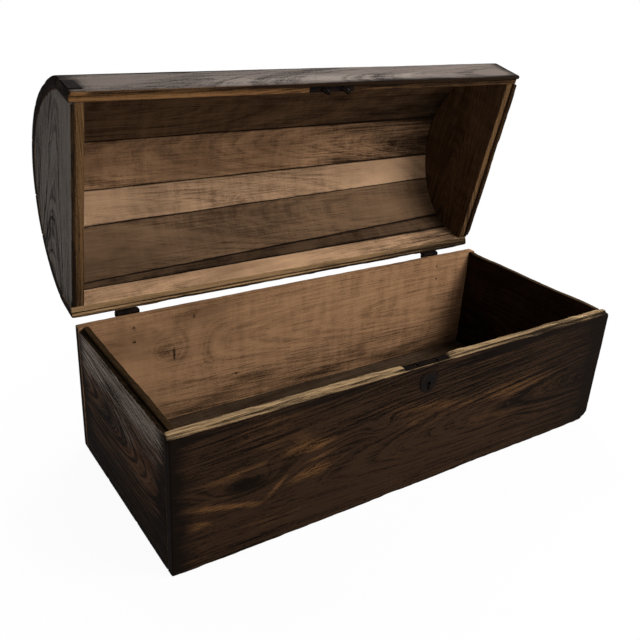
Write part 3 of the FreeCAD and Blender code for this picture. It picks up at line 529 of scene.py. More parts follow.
def front_board(sizes):
    """Front board: a slab with a rim, carried along the chest and cut for the lock."""
    low, high = FRONT_LOW, FRONT_HIGH
    shelf = high.z - sizes.tongue_height
    fine, extra = lock_grid(sizes, shelf)
    return Board(
        "front_board_timber", "case", "case_wood", ["front_board"],
        outline=rim_outline("outside step step tongue inside under", sizes, low.y, high.y, low.z, high.z),
        low=low.x, high=high.x, place=along_x, lay=lambda points: points[..., (0, 2, 1)],
        spine=slab_spine((low.y + high.y) / 2, low.z, shelf, (high.y - low.y) / 2), timber=FRONT_TIMBER,
        wear=(1.0, 0.9, 0, 0.7, 0.9, 0.1), dirt=(0.8, 0, 0.6, 0, 0, 0.8), end_soil=1.0,
        end_round=sizes.end_round, grid=(0.0028, 0.0045), shade=front_grime(shelf),
        carve=lock_bed(sizes, shelf), fine=fine, extra=extra)


def lock_grid(sizes, shelf):
    """Grid lines close beside the cuts for the lock and over the keyhole and the broken foot: along the front
    board, and by face of its outline."""
    deep, key, foot = FRONT_HIGH.y - FRONT_LOW.y, shelf - sizes.key_drop, FRONT_HIGH.x - FOOT_LONG
    tongue, bed = deep - sizes.shelf_wide, sizes.tongue_height + BED_TALL
    edges = sizes.lock_half + np.array([-PIT_INSET - HAIR, -PIT_INSET + 2 * HAIR, PLATE_PLAY - 2 * HAIR,
                                        PLATE_PLAY + 2 * HAIR, 0.002, 0.005])
    hole = np.linspace(-KEY_ROUND - 0.0011, KEY_ROUND + 0.0011, 17)
    fine = np.concatenate([edges, -edges, hole, np.linspace(foot - 0.001, foot + 0.019, 11)])
    extra = {
        0: np.linspace(key - KEY_LONG - 0.0015, key + KEY_ROUND + 0.0015, 27) - FRONT_LOW.z,
        1: [deep - PLATE_WIDE - HAIR, deep - PLATE_WIDE + HAIR, PIT_FRONT - 2 * HAIR, PIT_FRONT + 2 * HAIR],
        3: [tongue - PIT_BACK - HAIR, tongue - PIT_BACK + 2 * HAIR],
        4: [bed - 2 * HAIR, bed + 2 * HAIR],
    }
    return fine, extra


def lock_bed(sizes, shelf):
    """Let the lock into the front board: the tongue stops short of the plate in a round, the top and the
    inside are cut back for the plates, a pit lies under the staple slots and the keyhole goes in. The
    right foot of the board is broken off at a slant."""
    ragged = tongue_wear(3, shelf, sizes.tongue_height, 0.0026)
    face, inside = FRONT_LOW.y, FRONT_HIGH.y
    half, seat, key = sizes.lock_half, shelf - PLATE_SINK, shelf - sizes.key_drop

    def carve(along, section):
        section, soil = ragged(along, section)
        x, y, z = np.abs(along)[:, None], section[..., 0], section[..., 1]
        reach = np.clip((x - half - TONGUE_GAP) / TONGUE_ROUND, 0, 1)
        z = np.where(z > shelf, shelf + (z - shelf) * np.sqrt(1 - (1 - reach) ** 2), z)
        plate = x < half + PLATE_PLAY
        z = np.where(plate & (y > inside - PLATE_WIDE), np.minimum(z, seat), z)
        pit = (x < half - PIT_INSET) & (y > face + PIT_FRONT) & (y < inside - PIT_BACK) & (z > seat - 0.001)
        z = np.where(pit, shelf - PIT_DEEP, z)
        bed = plate & (z > shelf - BED_TALL) & (y > inside - BED_NEAR)
        y = np.where(bed, np.minimum(y, inside - BED_SINK), y)
        hole = (x < KEY_SLOT) & (z < key) & (z > key - KEY_LONG)
        hole = (hole | (x ** 2 + (z - key) ** 2 < KEY_ROUND ** 2)) & (y < face + KEY_NEAR)
        y = np.where(hole, y + KEY_DEEP, y)
        slant = (along - FRONT_HIGH.x + FOOT_LONG) / FOOT_LONG + 0.12 * ripple(6, along, 0.006)
        z = np.maximum(z, FRONT_LOW.z + FOOT_TALL * np.clip(slant, 0, 1)[:, None])
        return np.stack([y, z], -1), np.maximum(soil, np.where(hole | pit, 1.0, 0.0))
    return carve


def back_board(sizes):
    """Back board: an upright slab, plain up to the height of the tongue."""
    low, high = BACK_LOW, BACK_HIGH
    return Board(
        "back_board_timber", "case", "case_wood", ["back_board"],
        outline=polygon("outside inside inside under",
                        (high.y, low.z), (high.y, high.z), (low.y, high.z), (low.y, low.z)),
        low=low.x, high=high.x, place=along_x, lay=lambda points: points[..., (0, 2, 1)],
        spine=slab_spine((low.y + high.y) / 2, low.z, high.z, (high.y - low.y) / 2), timber=BACK_TIMBER,
        wear=(0.9, 0.4, 0.4, 0.1), dirt=(0.8, 0.3, 0, 0.8), end_soil=1.0, end_round=sizes.end_round,
        # Darker towards the bottom: painted shade low on the inside
        grid=(0.0028, 0.0045), shade=fading(0.17, 0.03, 2, 0.5),
        carve=tongue_wear(9, high.z - sizes.tongue_height, sizes.tongue_height, 0.0008))


def end_board(sizes, side, timber, node):
    """Case end between front and back, side -1 at the left: a slab with a rim, carried from front to back."""
    low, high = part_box(node)
    face, inside = (low.x, high.x) if side < 0 else (high.x, low.x)
    shelf = high.z - sizes.tongue_height
    return Board(
        node + "_timber", "case", "case_wood", [node],
        outline=rim_outline("outside shelf tongue tongue inside joint", sizes, face, inside, low.z, high.z),
        low=low.y, high=high.y, place=along_y, lay=lambda points: points[..., (1, 2, 0)],
        spine=slab_spine((face + inside) / 2, low.z, shelf, abs(face - inside) / 2), timber=timber,
        wear=(0.4, 0.8, 0, 0.7, 0.8, 0), dirt=(0.9, 0, 0.9, 0, 0, 0.9), end_soil=0.8, end_round=0.0006,
        grid=(0.0028, 0.0035), shade=fading(0.2, 0.0, 2, 0.85),
        carve=tongue_wear(timber.seed + 5, shelf, sizes.tongue_height, 0.002))


def bottom_plank(sizes, timber, node):
    """Bottom plank: a flat slab carried along the chest, which closes the open joint behind it."""
    low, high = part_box(node)
    rear = min(high.y + sizes.plank_gap, BACK_LOW.y)
    return Board(
        node + "_timber", "case", "case_wood", [node],
        outline=polygon("under joint inside joint",
                        (low.y, low.z), (rear, low.z), (rear, high.z), (low.y, high.z)),
        low=low.x, high=high.x, place=along_x, lay=lambda points: points,
        spine=slab_spine((high.z + low.z) / 2, low.y, rear, (high.z - low.z) / 2, axis=0), timber=timber,
        wear=(0.6, 0.6, 0.3, 0.3), dirt=(0.6, 0.6, 1, 1), end_soil=1.0, end_round=0.0015, grid=(0.005, 0.009))


# The lid, worked out closed and then turned open

# Each stave joint: its angle from the front and its swell past the circle, both at the left and right end
STAVE_JOINTS = (
    (14.2, 17.0, 0.00674, 0.00978), (34.0, 32.0, 0.0, 0.0), (57.0, 56.0, 0.0, 0.0),
    (80.6, 79.7, 0.0005, 0.0005), (110.2, 109.0, 0.0015, 0.0015), (131.0, 126.3, 0.006, 0.006),
    (164.5, 154.0, 0.013, 0.013), (168.5, 166.0, 0.0135, 0.0135),
)
LAST_STAVE = len(STAVE_JOINTS)

# How each stave looks inside, from the front: lighter or darker, and redder or greyer. The first four are
# darkened as painted shade under the lid's overhang
STAVE_TONES = ((0.2, 1.0), (0.2, 1.0), (0.27, 1.0), (0.27, 1.0), (0.9, 0.97), (1.22, 0.89), (0.44, 0.93),
               (0.24, 0.93), (1.75, 0.9))

# By the stave's number: its light patches, how much darker it grows towards the right, and the wear and the
# dirt of its corners where these differ from the plain ones; that dirt is painted shade in the crease of the
# first stave's recess
STAVE_LIGHTS = {
    0: ((0.08, -0.004, 0.25, 0.014, 0.0, 0.8),),
    5: ((-0.42, 0.0, 0.16, 0.10, 0.0, 1.2), (0.34, 0.0, 0.14, 0.10, 0.0, 1.8)),
    6: ((-0.42, 0.01, 0.17, 0.05, 0.0, 1.7), (0.33, 0.0, 0.16, 0.05, 0.0, 1.3)),
    8: ((-0.03, 0.0, 0.19, 0.10, 0.0, 1.7),),
}
STAVE_DARKENING = {3: 0.75, 4: 0.8, 8: 0.65}
STAVE_WEAR = {0: (0.9, 0.35, 0, 0.4, 0, 0.8), 8: (0.3, 0.9, 0.8, 0, 0.5, 0)}
STAVE_DIRT_AND_SHADE = {
    0: (0, 0.9, 0.7, 0, 0.9, 0), 2: (0.9, 0.9, 0.2, 0.9), 3: (0.9, 0.9, 0.9, 0.2),
    8: (0.9, 0, 0, 0.9, 0, 0.9),
}
PLAIN_WEAR, PLAIN_DIRT_AND_SHADE = (0.35, 0.35, 0, 0), (0.9, 0.9, 0.9, 0.9)

# Each lid end: its side, its node, how light its rim is, and its timber
LID_ENDS = (
    (-1, "lid_left_end", 0.27,
     Timber((0.34, -0.40), (0.12, -0.1), 0.02, 83, lights=((-0.05, 0.35, 0.6, 0.4, 0.0, 0.8),))),
    (1, "lid_right_end", 0.24, Timber((0.36, 0.42), (-0.1, 0.1), 0.02, 89)),
)

# The dovetail's timber, how deep its pocket is sunk and how far in from the end, how far it stands proud, how
# near it comes to the end, and how far it goes in
TAIL_TIMBER = Timber((0.3, -0.44), (0.1, 0.0), 0.01, 71)
POCKET_DEEP, POCKET_INSET = 0.004, 0.0012
TAIL_PROUD, TAIL_INSET, TAIL_IN = 0.0003, 0.0004, 0.008

Dome = namedtuple("Dome", "rim recess centre radius inner")


def dome_of(sizes):
    """Heights of the lid's rim, its recess and the dome's centre, and the dome's outer and inner radius."""
    rim = FRONT_HIGH.z - sizes.tongue_height + sizes.rim_gap
    radius = (BACK_HIGH.y - FRONT_LOW.y) / 2
    return Dome(rim, rim + sizes.recess_depth, rim + sizes.skirt_height, radius, radius - sizes.stave_thick)


def joint_point(sizes, number, end, depth):
    """Point of a stave joint at the left (0) or right (1) end, at a depth under the outside."""
    dome = dome_of(sizes)
    angle = math.radians(STAVE_JOINTS[number][end])
    reach = dome.radius + STAVE_JOINTS[number][2 + end] - depth
    return np.array([-reach * math.cos(angle), dome.centre + reach * math.sin(angle)])


def stave_outline(sizes, number, end):
    """Section of one stave: arcs outside and inside between two joints. The first and the last stave are
    flat, with a lip and a recess at the foot."""
    dome = dome_of(sizes)
    depths = (0, sizes.stave_thick)
    if number > 0:
        low, low_under = (joint_point(sizes, number - 1, end, depth) for depth in depths)
    if number < LAST_STAVE:
        top, under = (joint_point(sizes, number, end, depth) for depth in depths)
    if number == 0:
        lip = sizes.lip_wide - dome.radius
        return polygon("outside joint inside recess recess lip", (-dome.radius, dome.rim), top, under,
                       (-dome.inner, dome.recess), (lip, dome.recess), (lip, dome.rim))
    if number == LAST_STAVE:
        rear, foot = dome.radius + sizes.lid_overhang, dome.inner + sizes.lid_overhang
        edge = rear - sizes.rear_lip
        return polygon("outside lip recess recess inside joint", low, (rear, dome.rim), (edge, dome.rim),
                       (edge, dome.recess), (foot, dome.recess), low_under)
    return Outline([
        ("outside", arc(low, top, dome.radius, 1)), ("joint", [top, under]),
        ("inside", arc(under, low_under, dome.inner, -1)), ("joint", [low_under, low]),
    ])


def stave(sizes, number, timber):
    """One stave, carried straight from its left section to its right one."""
    dome = dome_of(sizes)
    left, right = (stave_outline(sizes, number, end) for end in (0, 1))
    middle = np.mean([np.concatenate(outline.runs).mean(0) for outline in (left, right)], 0)
    tilt = math.atan2(middle[1] - dome.centre, -middle[0])
    shade, carve = fading(-0.1, 0.5, 0, STAVE_DARKENING.get(number, 0.0)), None
    if number == 0:
        shade, carve = lid_rim_grime(dome.rim, dome.recess), tail_pocket(sizes)

    def lay(points):
        """Board axes of the stave: along the chest, along the curve and out from the dome's centre."""
        points = closed(points)
        front, up = -points[..., 1], points[..., 2] - dome.centre
        out = front * math.cos(tilt) + up * math.sin(tilt) - dome.radius
        across = up * math.cos(tilt) - front * math.sin(tilt)
        return np.stack([points[..., 0], across, out], -1)

    def spine(points):
        """Core of the section: an arc midway between its inside and outside, short of its two joints."""
        angle = np.arctan2(points[:, 1] - dome.centre, -points[:, 0])
        reach = np.hypot(points[:, 1] - dome.centre, points[:, 0])
        margin = min(0.05, (angle.max() - angle.min()) * 0.45)
        angle = np.clip(angle, angle.min() + margin, angle.max() - margin)
        reach = (reach.min() + reach.max()) / 2
        return np.stack([-reach * np.cos(angle), dome.centre + reach * np.sin(angle)], 1)
    node = f"lid_stave_{number + 1}"
    return Board(
        node + "_timber", "lid", "lid_wood", [node], outline=left, last_outline=right,
        low=FRONT_LOW.x, high=FRONT_HIGH.x, place=lambda line, section: opened(along_x(line, section)),
        lay=lay, spine=spine, timber=timber,
        wear=STAVE_WEAR.get(number, PLAIN_WEAR), dirt=STAVE_DIRT_AND_SHADE.get(number, PLAIN_DIRT_AND_SHADE), end_soil=0.9,
        end_round=sizes.end_round * 0.8, grid=(0.003, 0.0055), shade=shade, carve=carve)


def tail_width(sizes, rise):
    """Width of the dovetail at a height above its foot: it narrows evenly."""
    return sizes.tail_foot - sizes.tail_slope * rise / sizes.tail_tall


def tail_pocket(sizes):
    """Sink the first stave's left end where the dovetail of the lid's end board comes through."""
    dome = dome_of(sizes)

    def carve(along, section):
        rise = section[..., 1] - dome.rim - sizes.tail_low
        x = along[:, None] - FRONT_LOW.x
        sunk = (x > POCKET_INSET) & (x < tail_width(sizes, rise)) & (rise > 0) & (rise < sizes.tail_tall)
        section = section.copy()
        section[..., 0] += np.where(sunk & (section[..., 0] < POCKET_DEEP - dome.radius), POCKET_DEEP, 0)
        return section, 0.0
    return carve


def dovetail(sizes):
    """Dovetail of the left lid end in the first stave's face: a flat block, carried along the chest and drawn
    in towards its narrower top."""
    dome = dome_of(sizes)
    low = dome.rim + sizes.tail_low
    high = low + sizes.tail_tall
    face, back = -dome.radius - TAIL_PROUD, -dome.inner - TAIL_IN

    def place(line, section):
        points = along_x(line, section)
        width = tail_width(sizes, points[..., 2] - low)
        points[..., 0] = FRONT_LOW.x + (points[..., 0] - FRONT_LOW.x) * width / sizes.tail_foot
        return opened(points)
    return Board(
        "lid_dovetail", "lid", "lid_wood", [],
        outline=polygon("outside joint joint joint", (face, low), (face, high), (back, high), (back, low)),
        low=FRONT_LOW.x + TAIL_INSET, high=FRONT_LOW.x + sizes.tail_foot, place=place, lay=lid_end_lay,
        spine=slab_spine((back - dome.radius) / 2, low, high, 0.006), timber=TAIL_TIMBER,
        wear=(0.5, 0.5, 0, 0), dirt=(0.9, 0.9, 0.5, 0.5), end_soil=0.6, end_round=0.0012,
        grid=(0.0016, 0.0016))


def lid_end(sizes, side, timber, node):
    """Half-round lid end: upright columns stand along the rim and lean so that their tops follow the
    inside of the staves; the section carries the lip and the recess at each column's foot."""
    dome = dome_of(sizes)
    end, fit = (0 if side < 0 else 1), 0.0002
    knees = [joint_point(sizes, number, end, sizes.stave_thick + fit) for number in range(LAST_STAVE)]
    arches = [arc(start, stop, dome.inner, 1, 24)[:-1] for start, stop in zip(knees, knees[1:])]
    arch = np.concatenate(arches + [[knees[-1]]])
    run, crown = distances(arch), arch[:, 1].max()
    face = FRONT_LOW.x if side < 0 else FRONT_HIGH.x
    inside, lip = face - side * sizes.lid_end_thick, face - side * sizes.lip_wide
    rim, recess = dome.rim, dome.recess

    def place(line, section):
        share, z = (line / run[-1])[:, None], section[..., 1]
        rear = np.where(z > recess - 0.0006, dome.inner - fit + sizes.lid_overhang, BACK_LOW.y - 0.0015)
        foot = (share - 1) * (dome.inner - fit) + share * rear
        top_y, top_z = (np.interp(line, run, axis)[:, None] for axis in arch.T)
        z = np.where(z > recess, recess + (z - recess) * (top_z - recess) / (crown - recess), z)
        y = foot + (top_y - foot) * (z - rim) / (top_z - rim)
        return opened(np.stack([section[..., 0], y, z], -1))
    return Board(
        node + "_timber", "lid", "lid_wood", [node],
        outline=polygon("outside joint inside recess recess lip", (face, rim), (face, crown), (inside, crown),
                        (inside, recess), (lip, recess), (lip, rim)),
        low=0.0, high=run[-1], place=place, lay=lid_end_lay,
        spine=slab_spine((face + inside) / 2, recess, crown, abs(face - inside) / 2), timber=timber,
        wear=(0.9, 0, 0, 0.5, 0, 0.7), dirt=(0, 1, 1, 0.3, 0.9, 0), end_soil=0.3, end_round=0.0004,
        grid=(0.003, 0.0045), shade=lambda points: fading(-0.05, 0.22, 1, 0.3)(closed(points)),
        extra={0: [sizes.recess_depth - 0.001, sizes.recess_depth]})


# Materials

class Graph:
    """Node tree of a material or a world, emptied and built up from sockets."""

    def __init__(self, owner):
        owner.use_nodes = True
        self.tree = owner.node_tree
        self.tree.nodes.clear()

    def add(self, kind, inputs=None, **settings):
        """Add a shader node, set its options, and link or set its inputs."""
        item = self.tree.nodes.new("ShaderNode" + kind)
        for key, value in settings.items():
            setattr(item, key, value)
        for key, value in (inputs or {}).items():
            if isinstance(value, bpy.types.NodeSocket):
                self.tree.links.new(value, item.inputs[key])
            else:
                item.inputs[key].default_value = value
        return item

    def attribute(self, name):
        """One of the piece's own attributes."""
        return self.add("Attribute", attribute_name=name).outputs["Vector" if name == "grain" else "Fac"]

    def math(self, operation, first, second=0.0, third=0.0):
        """One step of arithmetic."""
        return self.add("Math", {0: first, 1: second, 2: third}, operation=operation).outputs[0]

    def gain(self, value, factor, offset):
        """A value times a factor, plus an offset."""
        return self.math("MULTIPLY_ADD", value, factor, offset)

    def spread(self, value, low, high, to_low=0.0, to_high=1.0):
        """Map a value smoothly from one range to another, and hold it at the ends."""
        inputs = {"Value": value, "From Min": low, "From Max": high, "To Min": to_low, "To Max": to_high}
        return self.add("MapRange", inputs, interpolation_type="SMOOTHSTEP").outputs["Result"]

    def blend(self, share, first, second):
        """Mix two colours, on the mix node's colour sockets."""
        first, second = (colour if isinstance(colour, bpy.types.NodeSocket) else (*colour, 1.0)
                         for colour in (first, second))
        return self.add("Mix", {0: share, 6: first, 7: second}, data_type="RGBA").outputs[2]

    def noise(self, vector, stretch, detail, rough):
        """Noise with its own stretch along, across and through the grain."""
        scaled = self.add("VectorMath", {0: vector, 1: stretch}, operation="MULTIPLY").outputs[0]
        inputs = {"Vector": scaled, "Scale": 1.0, "Detail": detail, "Roughness": rough}
        return self.add("TexNoise", inputs).outputs["Fac"]

    def surface(self, colour, rough, gloss, height, strength, depth):
        """End a material in a shader with a bumped surface."""
        bump = self.add("Bump", {"Strength": strength, "Distance": depth, "Height": height})
        shader = self.add("BsdfPrincipled", {"Base Color": colour, "Normal": bump.outputs[0],
                                             "Specular IOR Level": gloss, "Roughness": rough})
        self.add("OutputMaterial", {"Surface": shader.outputs[0]})


# Noises in the wood, each with its stretch along and across the grain, detail and roughness: how the rings
# waver, fibres, pore dashes, patches, clouds, specks and saw marks
WOOD_NOISES = (
    (4.0, 20.0, 3.0, 0.6), (7.0, 420.0, 4.0, 0.7), (55.0, 760.0, 2.0, 0.5), (7.0, 24.0, 5.0, 0.62),
    (1.9, 4.2, 3.0, 0.5), (240.0, 800.0, 2.0, 0.6), (48.0, 11.0, 3.0, 0.6),
)
# Black of the knots, of grime and painted shade, and of pits in the iron
KNOT_BLACK, GRIME_AND_SHADE_BLACK, PIT_BLACK = (0.004, 0.0028, 0.002), (0.006, 0.0038, 0.0027), (0.004, 0.0033, 0.003)
WOOD_GLOSS, IRON_GLOSS = 0.02, 0.03

# Colours of a board's wood, how many rings it has to the metre, how strong its figure and its pores are and
# how rough it is
Tones = namedtuple("Tones", "inside_light inside_dark outside_light outside_mid outside_dark rim_light "
                            "rim_dark worn rings figure fleck rough")


def wood(name, tones):
    """Old plank: lines of uneven width that follow the ring radius, fine fibres, short pore dashes and
    specks, stain in three tones outside, bare wood on the rim, worn edges, grime in the joints, and
    painted shade, which darkens like the grime."""
    material = bpy.data.materials.new(name)
    graph = Graph(material)
    math_step, gain, spread, blend = graph.math, graph.gain, graph.spread, graph.blend
    grain, ring, stain, bare, light, wear, soil, knot = (graph.attribute(key) for key in (
        "grain", "ring", "stain", "bare", "light", "wear", "soil", "knot"))
    waver, fibre, dash, patch, cloud, speck, saw = (
        graph.noise(grain, (along, across, across), detail, rough)
        for along, across, detail, rough in WOOD_NOISES)

    along = graph.add("SeparateXYZ", {0: grain}).outputs["X"]
    growth = graph.add("CombineXYZ", {"X": gain(waver, 0.006, ring), "Y": along}).outputs[0]
    lines = spread(graph.noise(growth, (tones.rings, 2.2, 0.0), 5.0, 0.65), 0.38, 0.64)
    pores = math_step("MULTIPLY", spread(dash, 0.56, 0.68), gain(lines, 0.6, 0.4))
    dark = gain(pores, tones.fleck, gain(lines, tones.figure, gain(fibre, 2.2, -1.1)))
    figure = spread(gain(speck, 1.2, math_step("SUBTRACT", dark, 0.6)), -0.3, 1.1)

    sawn = gain(saw, 0.9, math_step("SUBTRACT", figure, 0.45))
    inner = blend(spread(sawn, -0.2, 1.1), tones.inside_light, tones.inside_dark)
    # Light patches make the wood paler: on the back board's inside they are painted light, and on the front
    # they are worn stain that also paints in a sheen
    inner = blend(math_step("MULTIPLY", light, 0.5), inner, tones.inside_light)
    inner = blend(spread(gain(patch, 0.6, cloud), 0.72, 1.15, 0.0, 0.7), inner, tones.inside_dark)
    edge = blend(figure, tones.rim_light, tones.rim_dark)
    outer = blend(spread(gain(light, 0.6, patch), 0.52, 0.95), tones.outside_mid, tones.outside_light)
    deep = math_step("ADD", figure, gain(cloud, 1.7, -0.85))
    outer = blend(spread(deep, 0.15, 0.85), outer, tones.outside_dark)

    ragged = gain(fibre, 0.5, -0.25)
    colour = blend(spread(math_step("ADD", bare, ragged), 0.3, 0.75), inner, edge)
    colour = blend(spread(math_step("ADD", stain, ragged), 0.3, 0.7), colour, outer)
    rubbed = math_step("ADD", wear, gain(patch, 1.6, -1.0))
    colour = blend(spread(math_step("ADD", rubbed, ragged), 0.45, 1.0, 0.0, 0.8), colour, tones.worn)
    ringed = gain(figure, 0.5, gain(patch, 0.8, knot))
    colour = blend(spread(ringed, 0.85, 1.6, 0.0, 0.92), colour, KNOT_BLACK)
    # Grime and the painted shade in the soil darken the wood towards black
    grimy_and_shaded = gain(figure, 0.35, math_step("ADD", soil, gain(patch, 1.0, -0.5)))
    colour = blend(spread(grimy_and_shaded, 0.25, 1.0, 0.0, 0.94), colour, GRIME_AND_SHADE_BLACK)

    rough = spread(fibre, 0.3, 0.7, tones.rough, tones.rough + 0.16)
    height = gain(pores, -0.7, math_step("MULTIPLY", figure, -0.5))
    graph.surface(colour, rough, WOOD_GLOSS, height, 0.5, 0.0007)
    return material


def iron(name, bright, rust):
    """Forged iron: a near-black skin with rust in clouds, hammered unevenness and fine pitting."""
    material = bpy.data.materials.new(name)
    graph = Graph(material)
    place = graph.add("TexCoord").outputs["Object"]
    cloud, pits, blows = (graph.noise(place, (size, size, size), detail, rough) for size, detail, rough in (
        (55.0, 5.0, 0.65), (900.0, 3.0, 0.6), (160.0, 2.0, 0.5)))
    colour = graph.blend(graph.spread(cloud, 0.4, 0.7), bright, rust)
    colour = graph.blend(graph.spread(pits, 0.52, 0.72, 0.0, 0.7), colour, PIT_BLACK)
    rough = graph.spread(cloud, 0.35, 0.7, 0.55, 0.85)
    graph.surface(colour, rough, IRON_GLOSS, graph.gain(pits, -0.35, blows), 0.6, 0.0006)
    return material


def toned(colour, level, red=1.0):
    """A colour made lighter or darker, and redder or greyer."""
    return (colour[0] * level * red, colour[1] * level, colour[2] * level / red)


def all_toned(colours, level, red=1.0):
    """Several colours made lighter or darker, and redder or greyer."""
    return tuple(toned(colour, level, red) for colour in colours)


# Sizes, colours and stage settings

def length(name, description, default):
    """A size in metres."""
    return FloatProperty(name=name, description=description, default=default, min=0.0, unit="LENGTH",
                         precision=4)


def paint(name, description, default):
    """A linear colour."""
    return FloatVectorProperty(name=name, description=description, default=default, size=3, min=0.0, max=1.0,
                               subtype="COLOR")


def setting(name, description, default, unit="NONE"):
    """A setting of the camera or of a light."""
    return FloatProperty(name=name, description=description, default=default, min=0.0, unit=unit)


class ChestSizes(bpy.types.PropertyGroup):
    """Sizes of the chest's woodwork that the frame's boxes don't give."""
    shelf_wide: length("Rim step", "Width of the outer step of the case's rim", 0.009)
    tongue_height: length("Tongue", "Height of the rim's tongue above its step", 0.006)
    rim_gap: length("Rim gap", "Closed lid above the step", 0.0005)
    plank_gap: length("Plank gap", "Joint between the bottom planks, which dirt closes", 0.0006)
    skirt_height: length("Skirt", "Straight foot of the dome", 0.016)
    stave_thick: length("Stave", "Thickness of the lid staves", 0.021)
    lid_end_thick: length("Lid end", "Thickness of the half-round lid ends", 0.025)
    lip_wide: length("Lip", "Width of the lid's lip outside the tongue", 0.0082)
    recess_depth: length("Recess", "Depth of the lid's recess over the tongue", 0.007)
    lid_overhang: length("Lid overhang", "Lid past the back board", 0.008)
    rear_lip: length("Rear lip", "Width of the lid's lip behind the back board", 0.0072)
    tail_low: length("Dovetail place", "Dovetail above the lid's rim", 0.011)
    tail_tall: length("Dovetail height", "Height of the dovetail", 0.0415)
    tail_foot: length("Dovetail width", "Width of the dovetail at its foot", 0.025)
    tail_slope: length("Dovetail taper", "How much narrower the dovetail is at its top", 0.004)
    lock_half: length("Lock plate", "Half the length of the lock plate", 0.052)
    key_drop: length("Key post", "Key post below the rim's step", 0.037)
    end_round: length("End rounding", "Rounding of the boards' ends", 0.0022)


class ChestColours(bpy.types.PropertyGroup):
    """Colours of the chest's wood and iron."""
    # Worn patches of the front's stain, which also stand in for its soft sheen as painted sheen
    front_worn_and_sheen: paint("Front, light", "Worn patches of the front's stain", (0.105, 0.049, 0.019))
    front_mid: paint("Front, middle", "Stain on the front board", (0.029, 0.0150, 0.0080))
    front_dark: paint("Front, dark", "Dark lines and pores of the front", (0.0035, 0.0022, 0.0015))
    end_light: paint("Ends, light", "Grey weathering on the ends", (0.33, 0.285, 0.25))
    end_mid: paint("Ends, middle", "Brown stain on the ends", (0.115, 0.058, 0.032))
    end_dark: paint("Ends, dark", "Dark lines and pores of the ends", (0.008, 0.006, 0.005))
    lid_light: paint("Lid, light", "Bleached wood outside the lid's front", (0.215, 0.178, 0.152))
    lid_mid: paint("Lid, middle", "Weathering outside the lid's front", (0.134, 0.107, 0.092))
    lid_dark: paint("Lid, dark", "Dark lines and pores outside the lid", (0.0120, 0.0090, 0.0075))
    inside_light: paint("Inside, light", "Lighter wood inside", (0.40, 0.22, 0.113))
    inside_dark: paint("Inside, dark", "Darker wood inside", (0.085, 0.042, 0.020))
    rim_light: paint("Rim, light", "Bare wood of the rims", (0.43, 0.285, 0.15))
    rim_dark: paint("Rim, dark", "Grain in the bare wood of the rims", (0.10, 0.064, 0.034))
    worn: paint("Worn edge", "Wood that shows at worn edges", (0.20, 0.145, 0.10))
    rubbed: paint("Rubbed edge", "Dark wood at the lid's worn edges", (0.022, 0.013, 0.008))
    iron: paint("Iron", "Blackened iron", (0.0035, 0.0029, 0.0026))
    rust: paint("Rust", "Rust on the iron", (0.013, 0.007, 0.0045))


class ChestStage(bpy.types.PropertyGroup):
    """Camera and lights."""
    lens: setting("Lens", "Focal length of the camera", 43.41, "CAMERA")
    key: setting("Key light", "Power of the main lamp", 84.0, "POWER")
    fill: setting("Fill light", "Power of the soft lamp in front", 14.0, "POWER")
    back: setting("Back light", "Power of the lamp above and behind", 110.0, "POWER")
    sky: setting("Sky", "Strength of the even light from all round", 0.16)


# Operators

def inside_tones(colours, level=1.0, red=1.0):
    """Light and dark of the wood inside."""
    return all_toned((colours.inside_light, colours.inside_dark), level, red)


def rim_tones(colours, level=1.0, red=1.0):
    """Colours of the rims and of the worn edges, which are dark on the darker rims."""
    worn = colours.worn if level == 1 else colours.rubbed
    return *all_toned((colours.rim_light, colours.rim_dark), level, red), worn


class CHEST_OT_rim_boards(bpy.types.Operator):
    """Build the front and back boards with their rims"""
    bl_idname = "chest.rim_boards"
    bl_label = "Front and back boards"

    def execute(self, context):
        sizes, colours = context.scene.chest_sizes, context.scene.chest_colours
        # The front's light colour is worn stain and painted sheen
        worn_and_sheen, stained = colours.front_worn_and_sheen, (colours.front_mid, colours.front_dark)
        front = wood("front_board_stain", Tones(
            *inside_tones(colours, 0.8), worn_and_sheen, *stained, *rim_tones(colours),
            rings=330.0, figure=0.6, fleck=0.7, rough=0.7))
        back = wood("back_board_stain", Tones(
            *inside_tones(colours), toned(worn_and_sheen, 0.5), *stained, *rim_tones(colours),
            rings=210.0, figure=0.35, fleck=0.25, rough=0.75))
        build_board(front_board(sizes), front)
        build_board(back_board(sizes), back)
        return {"FINISHED"}


class CHEST_OT_end_boards(bpy.types.Operator):
    """Build the two ends of the case"""
    bl_idname = "chest.end_boards"
    bl_label = "Case ends"

    def execute(self, context):
        sizes, colours = context.scene.chest_sizes, context.scene.chest_colours
        outside = toned(colours.end_light, 1.05, 1.06), colours.end_mid, toned(colours.end_dark, 0.85, 1.22)
        for side, node, level, timber in END_BOARDS:
            skin = wood(node + "_stain", Tones(
                *inside_tones(colours, level), *outside, *rim_tones(colours, 0.11, 1.15),
                rings=420.0, figure=0.6, fleck=0.5, rough=0.75))
            build_board(end_board(sizes, side, timber, node), skin)
        return {"FINISHED"}


class CHEST_OT_bottom_planks(bpy.types.Operator):
    """Build the three planks of the bottom"""
    bl_idname = "chest.bottom_planks"
    bl_label = "Bottom planks"

    def execute(self, context):
        sizes, colours = context.scene.chest_sizes, context.scene.chest_colours
        skin = wood("bottom_plank_stain", Tones(
            *inside_tones(colours, 0.27, 0.85), colours.front_worn_and_sheen, colours.front_mid, colours.front_dark,
            *rim_tones(colours), rings=200.0, figure=0.4, fleck=0.4, rough=0.75))
        for number, place in enumerate(("front", "middle", "rear")):
            timber = Timber((-0.13 + 0.13 * number, -0.06), (0.02, 0.03), 0.02, 29 + number)
            build_board(bottom_plank(sizes, timber, "bottom_plank_" + place), skin)
        return {"FINISHED"}


